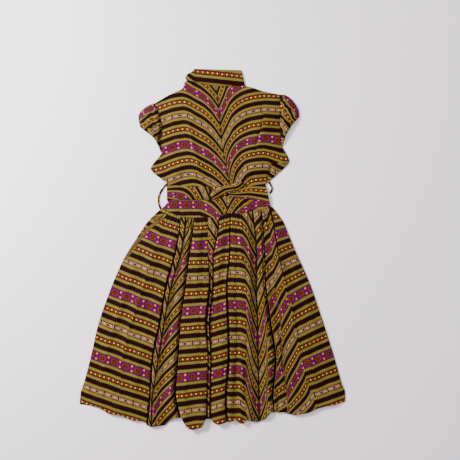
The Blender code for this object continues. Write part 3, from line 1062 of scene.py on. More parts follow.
@dataclass(frozen=True)
class SkirtLine:
    """A line down the skirt from the waist seam to the hem, at eight levels.

    drop is how much lower the stripes lie here than on the flat of the front, at each level.
    bow shapes the stripes over to the next line: 1 is straight, more hangs down late.
    """

    name: str
    lift: float
    x: tuple[float, ...]
    drop: tuple[float, ...] = (0.0,)
    bow: float = 1.0
    steps: int = 12


@dataclass(frozen=True)
class Fold:
    """A folded-over edge along a line, with the stripes' drop on each side of it at each level.

    over is the side that lies on top. Where it is None, the two sides only meet in a sharp valley.
    groove_and_shade is how wide the cloth beside the edge, deep in the fold, is painted dark as
    shade, the fold's inside with it; the low groove beside the edge is a millimetre wider.
    """

    line: str
    over: Side | None
    left: tuple[float, ...]
    right: tuple[float, ...]
    depth: Point = (5.0, 12.0)
    height: tuple[float, ...] = (8.6,)
    groove_and_shade: tuple[float, ...] = (0.0,)


@dataclass
class Skirt:
    """The full skirt: the front with its folded-over pleats, and the pressed back."""

    levels_y: tuple[float, ...] = (110, 60, -20, -120, -240, -360, -480, -560)
    rise: tuple[float, ...] = (0.35, 0.80, 0.95, 0.95, 0.90, 0.95, 1.0, 1.2)
    down: tuple[int, ...] = (14, 20, 20, 22, 22, 22, 18)
    low_z: float = 2.2
    turn: float = 1.3
    # The waist seam and the hem: y at each x.
    seam: tuple[Point, ...] = (
        (-165, 138), (-141, 121), (-109, 106), (-60, 104), (-16, 106), (22, 99), (29, 114),
        (58, 118), (101, 118), (130, 129), (155, 130), (181, 135), (193, 144),
    )
    hem: tuple[Point, ...] = (
        (-440, -513), (-407, -518), (-376, -525), (-344, -544), (-303, -551), (-262, -567),
        (-226, -570), (-216, -585), (-198, -588), (-156, -583), (-143, -571), (-126, -559),
        (-103, -559), (-94, -575), (-81, -594), (-66, -597), (-32, -588), (-24, -562),
        (-4, -560), (5, -575), (18, -580), (58, -570), (80, -565), (90, -576), (103, -577),
        (112, -564), (136, -571), (152, -573), (176, -562), (192, -541), (234, -540),
        (272, -549), (317, -542), (345, -529), (377, -520), (409, -515), (440, -505),
    )
    lines: tuple[SkirtLine, ...] = (
        SkirtLine("side_left", 0.0, (-165, -225, -287, -333, -376, -404, -434, -440),
                  (-20, -42, -60, -66, -74, -74, -78, -78), 1.0, 28),
        SkirtLine("wing_left", 7.0, (-137, -168, -208, -245, -276, -302, -324, -330),
                  (-6, -15, -27, -33, -37, -39, -39, -38), 1.15, 30),
        SkirtLine("edge_left", 7.0, (-106, -112, -128, -156, -177, -201, -210, -219), (), 1.0, 10),
        SkirtLine("arrow_left", 4.5, (-89, -92, -106, -136, -159, -178, -198, -202),
                  (124, 124, 124, 124, 124, 132, 136, 138), 0.8, 6),
        SkirtLine("flank_left", 5.0, (-81, -81, -94, -124, -147, -166, -186, -190),
                  (98, 90, 66, 88, 94, 100, 104, 110), 1.0, 22),
        SkirtLine("pleat_a", 6.0, (-60, -64, -75, -88, -104, -112, -120, -104), (), 1.0, 14),
        SkirtLine("crown_a", 12.0, (-38, -39, -45, -51, -64, -66, -70, -64),
                  (0, 0, 0, 0, -1, -1, 2, 7), 1.0, 14),
        SkirtLine("pleat_b", 6.0, (-16, -14, -14, -12, -24, -16, -20, -21), (), 1.0, 14),
        SkirtLine("pleat_c", 6.0, (24, 20, 5, 1, -10, -6, -8, -8), (), 1.0, 9),
        SkirtLine("crown_c", 11.0, (41, 38, 30, 22, 18, 23, 14, 18),
                  (-11, -12, -12, -9, -10, -10, -11, -9), 1.0, 9),
        SkirtLine("pleat_d", 6.0, (58, 56, 55, 45, 48, 50, 41, 45), (), 1.0, 14),
        SkirtLine("crown_d", 11.0, (84, 86, 90, 90, 92, 90, 88, 90),
                  (-13, -14, -18, -19, -21, -21, -24, -17), 1.3, 8),
        SkirtLine("shoulder_d", 10.0, (98, 101, 108, 112, 114, 114, 112, 114),
                  (-10, -9, -7, -12, -10, -8, -5, -5), 1.0, 6),
        SkirtLine("brow_d", 9.0, (112, 116, 121, 126, 128, 128, 127, 128),
                  (9, 12, 19, 16, 42, 52, 52, 52), 1.0, 10),
        SkirtLine("arrow_right", 5.0, (133, 141, 146, 145, 149, 151, 154, 155), (), 1.0, 12),
        SkirtLine("lee_f", 5.0, (158, 164, 170, 171, 176, 179, 177, 176),
                  (-9, -8, 2, 12, 12, 48, 44, 62), 1.0, 4),
        SkirtLine("slip_f", 5.0, (160, 166, 172, 174, 181, 184, 183, 184),
                  (-11, -10, 3, 6, 0, -6, -8, -2), 1.0, 7),
        SkirtLine("pleat_f", 6.0, (163, 169, 175, 178, 194, 212, 202, 206), (), 1.0, 12),
        SkirtLine("tuck_f", 6.0, (174, 188, 198, 207, 226, 233, 248, 252),
                  (-2, -5, 4, 4, 22, 50, 60, 48), 1.0, 18),
        SkirtLine("crease_g", 6.0, (188, 203, 219, 242, 271, 294, 325, 345),
                  (-33, -33, -37, -39, -36, -38, -44, -50), 1.0, 16),
        SkirtLine("wing_right", 4.0, (190, 221, 251, 284, 318, 349, 382, 396),
                  (-35, -38, -50, -57, -56, -59, -63, -65), 1.0, 16),
        SkirtLine("side_right", 0.0, (193, 239, 281, 325, 366, 404, 436, 440),
                  (-36, -42, -62, -75, -76, -80, -82, -80), 1.0, 1),
    )
    # Lines of each smooth panel, with the folds between panels.
    order: tuple[tuple[str, ...] | Fold, ...] = (
        ("side_left", "wing_left", "edge_left"),
        Fold("edge_left", Side.LEFT, (6, 4, 0, -2, 0, -3, -4, -4), (86, 84, 78, 72, 58, 70, 74, 80),
             height=(8.6, 9.5, 10.5, 11.0, 11.0, 10.5, 9.0, 8.0), groove_and_shade=(1, 2, 3, 4, 4, 3, 3, 4)),
        ("edge_left", "arrow_left", "flank_left", "pleat_a"),
        Fold("pleat_a", Side.RIGHT, (16, 17, 26, 29, 26, 27, 16, 14), (0, 0, 0, 2, 2, 3, 8, 12),
             height=(8.6, 9.0, 9.5, 9.5, 10.0, 11.5, 12.0, 12.0), groove_and_shade=(2, 3, 3, 3, 3, 4, 6, 8)),
        ("pleat_a", "crown_a", "pleat_b"),
        Fold("pleat_b", Side.LEFT, (-2, -2, -1, -2, -4, -5, -4, 2), (20, 22, 10, 2, 0, 0, 0, 2),
             height=(8.6, 8.6, 10.0, 13.0, 15.5, 12.0, 13.0, 14.0), groove_and_shade=(0, 0, 1, 4, 5, 1, 2, 5)),
        ("pleat_b", "pleat_c"),
        Fold("pleat_c", Side.RIGHT, (92, 82, 50, 30, 14, 10, 8, 10), (-6, -2, 0, -2, -1, -2, -4, -3),
             height=(9.0, 11.0, 11.0, 10.0, 9.0, 8.6, 8.6, 9.0), groove_and_shade=(3, 4, 3, 2, 2, 1, 2, 2)),
        ("pleat_c", "crown_c", "pleat_d"),
        Fold("pleat_d", Side.LEFT, (-14, -15, -15, -14, -18, -18, -20, -15),
             (-17, -18, -19, -19, -21, -21, -26, -18),
             height=(8.6, 9.6, 11.0, 13.5, 15.5, 15.5, 14.0, 13.0), groove_and_shade=(0, 0, 0, 2, 4, 4, 4, 3)),
        ("pleat_d", "crown_d", "shoulder_d", "brow_d", "arrow_right"),
        Fold("arrow_right", None, (66, 70, 76, 86, 100, 118, 114, 119), (14, 19, 38, 68, 96, 118, 114, 119)),
        ("arrow_right", "lee_f", "slip_f", "pleat_f"),
        Fold("pleat_f", Side.RIGHT, (-14, -12, 6, 4, -10, -26, -22, -8), (8, 8, 24, 32, 40, 58, 64, 56),
             height=(8.6, 9.0, 9.5, 11.0, 12.0, 12.0, 10.0, 9.0), groove_and_shade=(2, 3, 3, 4, 5, 6, 5, 4)),
        ("pleat_f", "tuck_f", "crease_g", "wing_right", "side_right"),
    )
    # The line in each panel where the count of its figures starts.
    origins: tuple[str, ...] = ("edge_left", "arrow_left", "crown_a", "pleat_b", "crown_c", "arrow_right",
                                "arrow_right", "wing_right")
    chevrons: tuple[str, ...] = ("arrow_left", "arrow_right")
    # A line in the panel whose stripes bend softly, and the columns between the bends' knots.
    softened: str = "brow_d"
    softened_step: int = 3
    # A crease without an overlap whose upper end is painted dark as shade, and how far that reaches.
    shaded: str = "crease_g"
    shaded_reach: tuple[float, ...] = (1.9, 1.7, 1.3, 0.8, 0.3, 0, 0, 0)
    creases: tuple[Crease, ...] = (
        Crease(((-172, 70), (-189, 8), (-227, -121), (-279, -273), (-299, -368), (-308, -520)),
               3.2, 7.0, 3.0),
        Crease(((-205, 40), (-262, -130), (-318, -300), (-346, -470)), -2.0, 14.0),
        Crease(((-150, 60), (-168, -40), (-214, -200), (-240, -340)), -2.2, 11.0),
        Crease(((-248, -20), (-300, -180), (-352, -330), (-372, -500)), 2.2, 12.0, -1.5),
        Crease(((-196, -160), (-226, -300), (-262, -470), (-270, -560)), 2.6, 12.0),
        Crease(((-44, 80), (-52, -60), (-60, -220)), 2.0, 8.0),
        Crease(((-30, 70), (-30, -90), (-40, -260), (-44, -420)), -2.0, 6.0, 1.5),
        Crease(((-86, -380), (-92, -470), (-84, -590)), 2.5, 9.0),
        Crease(((36, 96), (28, 10), (16, -110), (12, -260)), 2.0, 6.0),
        Crease(((48, 90), (44, -20), (34, -150)), -2.0, 5.0, 1.0),
        Crease(((28, -230), (34, -360), (26, -470), (30, -575)), 3.0, 8.0),
        Crease(((76, 100), (74, -10), (68, -160), (72, -300)), 2.4, 7.0, 1.0),
        Crease(((66, 30), (64, -120), (66, -260), (70, -400)), -2.2, 6.0),
        Crease(((82, -280), (78, -400), (84, -560)), -3.0, 6.0, -2.0),
        Crease(((96, -340), (98, -450), (96, -572)), 3.4, 7.0, 2.0),
        Crease(((120, 90), (124, -40), (122, -200), (124, -380)), 2.0, 6.0),
        Crease(((203, 70), (209, 23), (222, -25), (234, -88), (244, -136), (263, -184), (269, -247),
                (285, -294), (288, -351), (307, -405)), 2.8, 5.0, 7.0),
        Crease(((186, -10), (190, -90), (204, -190), (222, -300)), -2.4, 7.0),
        Crease(((200, -180), (214, -280), (226, -350), (216, -430)), 3.4, 7.0, 3.0),
        Crease(((188, -250), (206, -300), (222, -390)), -3.6, 5.0, -3.0),
        Crease(((210, -360), (232, -420), (240, -500)), 3.2, 8.0, 2.0),
        Crease(((196, -400), (214, -470), (220, -540)), -3.4, 6.0, -3.0),
        Crease(((146, 126), (166, 110), (178, 84), (180, 60)), 3.2, 4.0, 5.0),
        Crease(((186, 134), (178, 108), (170, 84), (172, 48)), -3.0, 4.0, -5.0),
        Crease(((-61, 81), (-78, 58), (-94, 34)), -3.0, 4.0, 4.0),
        Crease(((250, 0), (290, -120), (336, -260), (370, -400)), 2.0, 13.0),
        Crease(((232, 20), (262, -80), (304, -190), (330, -300)), -2.0, 11.0),
        Crease(((300, -300), (330, -400), (352, -520)), 2.4, 12.0, 1.0),
        Crease(((330, -320), (372, -430), (396, -515)), -2.0, 12.0),
    )

    def line(self, name: str) -> SkirtLine:
        """The line of that name."""
        return next(line for line in self.lines if line.name == name)

    def run(self, name: str) -> Array:
        """A line from the waist to the hem: x, y and lift."""
        line = self.line(name)
        lift = np.array(self.rise) * line.lift
        table = np.column_stack([line.x, self.levels_y, lift])
        return spline(table, places(self.down))

    def down_rows(self, table: tuple[float, ...]) -> Array:
        """A table with a number for each level, or one for all, read at every row."""
        full = table if len(table) > 1 else table * len(self.levels_y)
        return spline(np.array(full, dtype=float)[:, None], places(self.down))[:, 0]

    def panel(self, index: int) -> tuple[Array, Array]:
        """A smooth panel between two folds or sides.

        Splines carry its lines across. Its stripes' drop goes from line to line on its own, as a
        power of the way across set by the line's bow.

        Args:
            index: Its place in order.

        Returns:
            The columns' points and the stripes' drop, each with columns first.
        """
        names = self.order[index]
        cage = [self.run(name) for name in names]
        tables = [self.line(name).drop for name in names]
        before = self.order[index - 1] if index else None
        after = self.order[index + 1] if index + 1 < len(self.order) else None
        for middle in cage[1:-1]:
            middle[:, 2] += self.low_z
        for end, fold, top_side, inward in ((0, before, Side.RIGHT, 1.0), (-1, after, Side.LEFT, -1.0)):
            if fold is None:
                cage[end][:, 2] = FRONT_Z
                continue
            tables[end] = fold.right if end == 0 else fold.left
            over = fold.over is top_side
            cage[end][:, 0] += inward * (self.turn * over + 0.5 * (fold.over is None))
            cage[end][:, 2] = self.down_rows(fold.height) if over else self.low_z
        at = places([self.line(name).steps for name in names[:-1]])
        columns = spline(np.array(cage), at)
        for end, fold, top_side in ((0, before, Side.RIGHT), (-1, after, Side.LEFT)):
            if fold is not None and fold.over not in (None, top_side):
                away = np.abs(columns[..., 0] - cage[end][:, 0])
                groove = self.down_rows(fold.groove_and_shade) + 1.0
                bank = self.down_rows(fold.height) * 0.85 * np.clip((away - groove) / 6.0, 0.0, 1.0)
                bank *= 1 - ease(away, 15.0, 60.0)
                columns[..., 2] = np.maximum(columns[..., 2], self.low_z + bank)
        drops = np.array([self.down_rows(table) for table in tables])
        low = np.clip(at.astype(int), 0, len(names) - 2)
        bows = np.array([self.line(name).bow for name in names])[low]
        way = ((at - low) ** bows)[:, None]
        drop = drops[low] * (1 - way) + drops[low + 1] * way
        if self.softened in names:
            step = self.softened_step
            drop = spline(drop[::step], np.arange(len(drop)) / step, 1.0)
        return columns, drop

    def hidden(self, fold: Fold) -> tuple[Array, Array]:
        """The cloth inside a folded-over edge: under, round a half-turn, back, and round again.

        A valley has one column only, at its bottom.

        Args:
            fold: Which fold.

        Returns:
            The columns' points and the stripes' drop, each with columns first, from the left.
        """
        line = self.run(fold.line)
        rows = len(line)
        left, right = self.down_rows(fold.left), self.down_rows(fold.right)
        zero = np.zeros(rows)
        if fold.over is None:
            return np.column_stack([line[:, :2], zero + FRONT_Z])[None], (left + right)[None] / 2
        toward = 1.0 if fold.over is Side.RIGHT else -1.0
        depth = np.linspace(*fold.depth, rows)
        top = self.down_rows(fold.height)
        middle = (self.low_z + top) / 2
        turn = self.turn
        stops = [(depth * 0.5, zero + self.low_z), (depth, zero + self.low_z)]
        for angle in np.radians((-45.0, 0.0, 45.0)):
            swing = (middle - self.low_z) / 2 * np.sin(angle)
            stops.append((depth + turn * np.cos(angle), (self.low_z + middle) / 2 + swing))
        stops += [(depth, middle), (depth * 0.5, middle), (zero + turn, middle)]
        for angle in np.radians((-45.0, 0.0, 45.0)):
            swing = (top - middle) / 2 * np.sin(angle)
            stops.append((turn - turn * np.cos(angle), (middle + top) / 2 + swing))
        columns = np.array([
            np.column_stack([line[:, 0] + toward * shift, line[:, 1], height]) for shift, height in stops
        ])
        if fold.over is Side.LEFT:
            columns = columns[::-1]
        way = np.linspace(0.0, 1.0, len(columns))[:, None]
        return columns, left * (1 - way) + right * way

    def fit_edges(self, points: Array) -> None:
        """Move the first rows onto the waist seam and the last ones onto the hem.

        Each row's share of the move fades with its distance from that edge.

        Args:
            points: Rows from the waist to the hem, changed in place.
        """
        rows = np.arange(len(points))
        seam = np.array(self.seam, dtype=float)
        hem = np.array(self.hem, dtype=float)
        top_share = 1 - ease(rows, 0, self.down[0] + self.down[1])
        low_share = ease(rows, len(rows) - 1 - self.down[-1] * 1.6, len(rows) - 1)
        top_move = np.interp(points[0, :, 0], seam[:, 0], seam[:, 1]) - GAP - points[0, :, 1]
        low_move = np.interp(points[-1, :, 0], hem[:, 0], hem[:, 1]) - points[-1, :, 1]
        points[..., 1] += top_share[:, None] * top_move[None] + low_share[:, None] * low_move[None]

    def front(self, finish: bpy.types.Material) -> None:
        """Make the front: panels and folds side by side, then gathers, creases and the hem."""
        parts = [self.hidden(part) if isinstance(part, Fold) else self.panel(index)
                 for index, part in enumerate(self.order)]
        sizes = [len(columns) for columns, _ in parts]
        points = np.concatenate([columns for columns, _ in parts]).transpose(1, 0, 2)
        drop = np.concatenate([drops for _, drops in parts]).T
        self.fit_edges(points)
        x, y = points[..., 0], points[..., 1]
        calm = self.calm(sizes)
        height, shift = creased(x, y, self.creases)
        waist = points[0, :, 1][None] - y
        pucker = gathers(np.broadcast_to(x[0][None], x.shape), waist, 9.5, 11, (26.0, 120.0))
        swell = ripple(x, y * 0.35, 70.0, 21) * 1.0 + ripple(x, y, 34.0, 22) * 0.35
        relief = (height + swell) * ease(waist, 5.0, 60.0) + pucker * 4.2 * (1 - 0.5 * ease(waist, 0.0, 80.0))
        flare = ripple(x, y * 0.2, 58.0, 23) * 2.2 * ease(-y, 430.0, 560.0)
        floor = self.low_z * calm + FRONT_Z * (1 - calm)
        points[..., 2] = np.maximum(points[..., 2] + (relief + flare) * calm, floor)
        pressed = 0.5 + 0.5 * ease(waist, 0.0, 12.0)
        points[..., 2] = FRONT_Z + (points[..., 2] - FRONT_Z) * pressed
        level = y + self.strip(x, y, drop) + (shift + relief * 0.2) * calm + self.side_strip(x, y)
        along = self.count(points, level, sizes)
        middle_and_shade = self.chevron_marks_and_shade(x, y, sizes)
        hem_gap = np.broadcast_to(y - points[-1, :, 1][None], x.shape)
        cloth = Cloth(points, along, level, middle_and_shade, hem_gap)
        cut = Cut("skirt_front", (1.31, 0.72), Hold.GATHERED, ("skirt_back",))
        finish_piece(cut, cloth, SHELL, finish)

    def chevron_marks_and_shade(self, x: Array, y: Array, sizes: list[int]) -> Array:
        """Distance from the chevrons' middle lines, set near one for painted shade in the folds and by a
        crease.

        Args:
            x: Across.
            y: Up.
            sizes: How many columns each part of the order has.

        Returns:
            The distance at each point.
        """
        middle_and_shade = np.full(x.shape, FAR)
        for name in self.chevrons:
            line = self.run(name)
            middle_and_shade = np.minimum(middle_and_shade, np.abs(x - np.interp(-y, -line[:, 1], line[:, 0])))
        ends = np.cumsum(sizes)
        for index, fold in enumerate(self.order):
            if not isinstance(fold, Fold) or fold.over is None:
                continue
            right = fold.over is Side.LEFT
            inside = slice(ends[index - 1], ends[index])
            first = ends[index] if right else ends[index - 1] - sizes[index - 1]
            beside = slice(first, ends[index + 1] if right else ends[index - 1])
            away = np.abs(x[:, beside] - self.run(fold.line)[:, :1])
            # Painted shade: the cloth inside the fold and beside its edge is painted dark, as wide as its
            # table says.
            middle_and_shade[:, inside] = self.shade(0.0, fold.groove_and_shade)
            middle_and_shade[:, beside] = np.minimum(middle_and_shade[:, beside], self.shade(away, fold.groove_and_shade))
        # Painted shade along the upper end of that crease.
        away = np.abs(x - self.run(self.shaded)[:, :1])
        return np.minimum(middle_and_shade, self.shade(away, self.shaded_reach))

    def shade(self, away: Array | float, reach: tuple[float, ...]) -> Array:
        """The mark for painted shade: it paints cloth dark up to a reach, and leaves it where the reach is
        under 1.

        Args:
            away: Distance from the fold at each point.
            reach: How far the painted shade goes, at each level.

        Returns:
            The mark: painted shade is dark where it is under DARK_MIDDLE_AND_SHADE, and never green.
        """
        rows = self.down_rows(reach)[:, None]
        return np.maximum(2.0 + 1.2 * (away - rows) + 12.0 * np.clip(1.0 - rows, 0.0, 1.0), 1.6)

    def count(self, points: Array, level: Array, sizes: list[int]) -> Array:
        """Distance along the stripes, started afresh in each panel from its own line.

        Args:
            points: The front's points.
            level: The print's level at each.
            sizes: How many columns each part of the order has.

        Returns:
            The distance at each point.
        """
        along = np.zeros(level.shape)
        origins = iter(self.origins)
        begin = 0
        for part, size in zip(self.order, sizes):
            span = slice(begin, begin + size)
            start = 0
            if not isinstance(part, Fold):
                start = sum(self.line(name).steps for name in part[: part.index(next(origins))])
            x, y, z = (points[:, span, axis] for axis in range(3))
            along[:, span] = stripe_length(x, level[:, span], y, z, start)
            begin += size
        return along

    def calm(self, sizes: list[int]) -> Array:
        """How freely each column may rise: 0 in folds and at the sides, 1 inside the panels."""
        shares = []
        for part, size in zip(self.order, sizes):
            if isinstance(part, Fold):
                shares.append(np.zeros(size))
                continue
            count = np.arange(size)
            edge = min(4.0, (size - 1) / 2)
            shares.append(np.minimum(ease(count, 0, edge), ease(size - 1 - count, 0, edge)))
        return np.concatenate(shares)[None]

    def side_strip(self, x: Array, y: Array) -> Array:
        """The narrow turn of cloth along the upper left side, where the stripes run steeply."""
        side = self.run("side_left")
        inside = x - np.interp(-y, -side[:, 1], side[:, 0])
        window = ease(y, -40.0, -20.0) * (1 - ease(y, 96.0, 118.0))
        return 150.0 * np.clip(1 - inside / 13.0, 0.0, 1.0) * window * (inside < 13.0)

    def strip(self, x: Array, y: Array, drop: Array) -> Array:
        """Change the stripes' drop on the strip of cloth that shows under the right tuck.

        The strip lies between the last fold and the tuck, below its own slanted top. Its drop goes
        straight from one side to the other.

        Args:
            x: Across.
            y: Up.
            drop: The drop without the strip.

        Returns:
            The drop with it.
        """
        fold, tuck = self.run("pleat_f"), self.run("tuck_f")
        left = np.interp(-y, -fold[:, 1], fold[:, 0])
        right = np.interp(-y, -tuck[:, 1], tuck[:, 0])
        way = np.clip((x - left) / (right - left), 0.0, 1.0)
        at_left = graph(((120, -16), (240, -10), (300, -8), (360, -4), (430, 6), (500, 2), (560, -2)), -y)
        at_right = graph(
            ((120, -52), (170, -54), (240, -46), (300, -44), (380, -42), (455, -30), (560, -28)), -y
        )
        top = -158.0 + 30.0 * way
        on_strip = (x > left + 0.5) * (x < right) * (y < top)
        return np.where(on_strip, at_left + (at_right - at_left) * way, drop)

    def back(self, finish: bpy.types.Material) -> None:
        """Make the back, pressed flat on the surface."""
        cage = np.array([self.run(line.name) for line in self.lines])
        points = spline(cage, places([5] * (len(self.lines) - 1))).transpose(1, 0, 2)
        points[..., 2] = BACK_Z
        self.fit_edges(points)
        points[-1, 2:-2, 1] += 3.0
        x, y = points[..., 0], points[..., 1]
        level = y + 0.12 * np.abs(x) * ease(np.abs(x), 60.0, 300.0)
        along = stripe_length(x, level, y, points[..., 2], points.shape[1] // 2)
        cloth = Cloth(points, along, level, hem=np.broadcast_to(y - points[-1, :, 1][None], x.shape))
        finish_piece(Cut("skirt_back", (0.98, 0.72), Hold.GATHERED, ()), cloth, SHELL, finish)


# ---------------------------------------------------------------------------------------------
# Midriff, sash and belt loops


@dataclass
class Midriff:
    """The fitted band between the bodice and the skirt."""

    seam: tuple[Point, ...]
    left: float = -147.0
    right: float = 176.0
    columns: int = 130
    rows: int = 34
    spine_x: float = 50.0
    point_y: float = 57.0
    squeeze: float = 0.9

    def grid(self) -> tuple[Array, Array, Array]:
        """The band seen from above, and how far up it each row is: x, y and the share."""
        seam = np.array(self.seam, dtype=float)
        x0 = np.sort(np.concatenate([np.linspace(seam[0, 0], seam[-1, 0], self.columns), seam[1:-1, 0]]))
        y0 = np.interp(x0, seam[:, 0], seam[:, 1]) + 0.2
        place = (x0 - x0[0]) / (x0[-1] - x0[0])
        x1 = self.left + (self.right - self.left) * place
        rise = np.linspace(1.0, 0.0, self.rows)[:, None]
        taper = 1 - (1 - rise) ** 4
        return x0 + (x1 - x0) * taper, y0 + (WAIST_Y - 0.2 - y0) * rise, rise

    def make(self, finish: bpy.types.Material) -> None:
        """Make the front, with its chevron, and the plain back."""
        x, y, rise = self.grid()
        place = np.linspace(0.0, 1.0, x.shape[1])[None]
        over_belt = np.clip((y - 137.0) / 8.0, 0.0, 1.0)
        back_z = BACK_Z + 1.5 * over_belt
        bump = np.sin(pi * place) ** 0.5
        height, shift = creased(x, y, (
            Crease(((-112, 160), (-108, 132), (-106, 108)), -2.0, 4.0, 3.0),
            Crease(((-60, 166), (-52, 136), (-44, 108)), 1.4, 7.0),
            Crease(((0, 166), (10, 134), (20, 104)), 1.2, 7.0),
            Crease(((90, 164), (104, 140), (112, 122)), -1.4, 6.0, -2.0),
            Crease(((136, 164), (150, 150), (172, 140)), 2.4, 5.0, 6.0),
            Crease(((116, 156), (134, 142), (150, 133)), -2.4, 4.0, -7.0),
            Crease(((100, 138), (124, 134), (142, 129)), 2.2, 4.0, 5.0),
        ))
        pucker = gathers(x + 0 * y, y - y[-1][None], 10.0, 31, (7.0, 20.0)) * 1.6
        free = ease(-y, -158.0, -150.0) * np.sin(pi * place) ** 0.3
        front_z = back_z + 1.5 + 4.2 * bump * (1 - rise) ** 1.5
        front_z = np.maximum(front_z + (height + pucker) * free, back_z + 1.5)
        away = x - self.spine_x
        arch = 105.0 * (1 - np.exp(-np.abs(away) / 48.0))
        arch = np.where(away < -92.0, 105.0 * (1 - np.exp(-92.0 / 48.0)), arch)
        level = WaxPrint.middle + (y - arch - self.point_y) / self.squeeze + shift
        along = stripe_length(x, level, y, front_z, int(np.argmin(np.abs(x[-1] - self.spine_x))))
        front = Cloth(np.stack([x, y, front_z], axis=2), along, level, np.abs(along))
        finish_piece(Cut("midriff_front", (0.39, 0.09), Hold.LAID, ("midriff_back",)), front, SHELL, finish)
        back = Cloth(np.stack([x, y, back_z], axis=2), x + 0.0, y + 0.0)
        finish_piece(Cut("midriff_back", (0.385, 0.09), Hold.LAID, ("belt_back",)), back, SHELL, finish)


@dataclass
class SashStretch:
    """One stretch of the sash between an upper and a lower edge, with folds along it."""

    node: str
    upper: tuple[Point, ...]
    lower: tuple[Point, ...]
    base: tuple[float, ...]
    roll: float
    ridges: tuple[tuple[float, float, float], ...]
    flat: tuple[float, float]
    rows: int = 110
    columns: int = 26

    def shape(self) -> tuple[Array, Array, Array]:
        """The stretch's points, and the shares along and across it.

        Across, the height is a rounded roll plus a bell for each ridge. Along, the base follows
        its table.

        Returns:
            Points with rows along the sash, the share along and the share across.
        """
        upper = rounded(self.upper, self.rows)
        lower = rounded(self.lower, self.rows)
        across = np.linspace(0.0, 1.0, self.columns)[None]
        along = np.linspace(0.0, 1.0, self.rows)[:, None]
        flat = lower[:, None] * (1 - across[..., None]) + upper[:, None] * across[..., None]
        base = np.interp(along, np.linspace(0.0, 1.0, len(self.base)), self.base)
        height = base + self.roll * np.sin(pi * across) ** 0.6
        for middle, width, size in self.ridges:
            wander = middle + 0.05 * np.sin(along * 7.0 + middle * 9.0)
            fullness = 0.6 + 0.4 * np.sin(along * 5.0 + middle * 20.0)
            height += size * np.exp(-(((across - wander) / width) ** 2)) * fullness
        return np.concatenate([flat, height[..., None]], axis=2), along, across


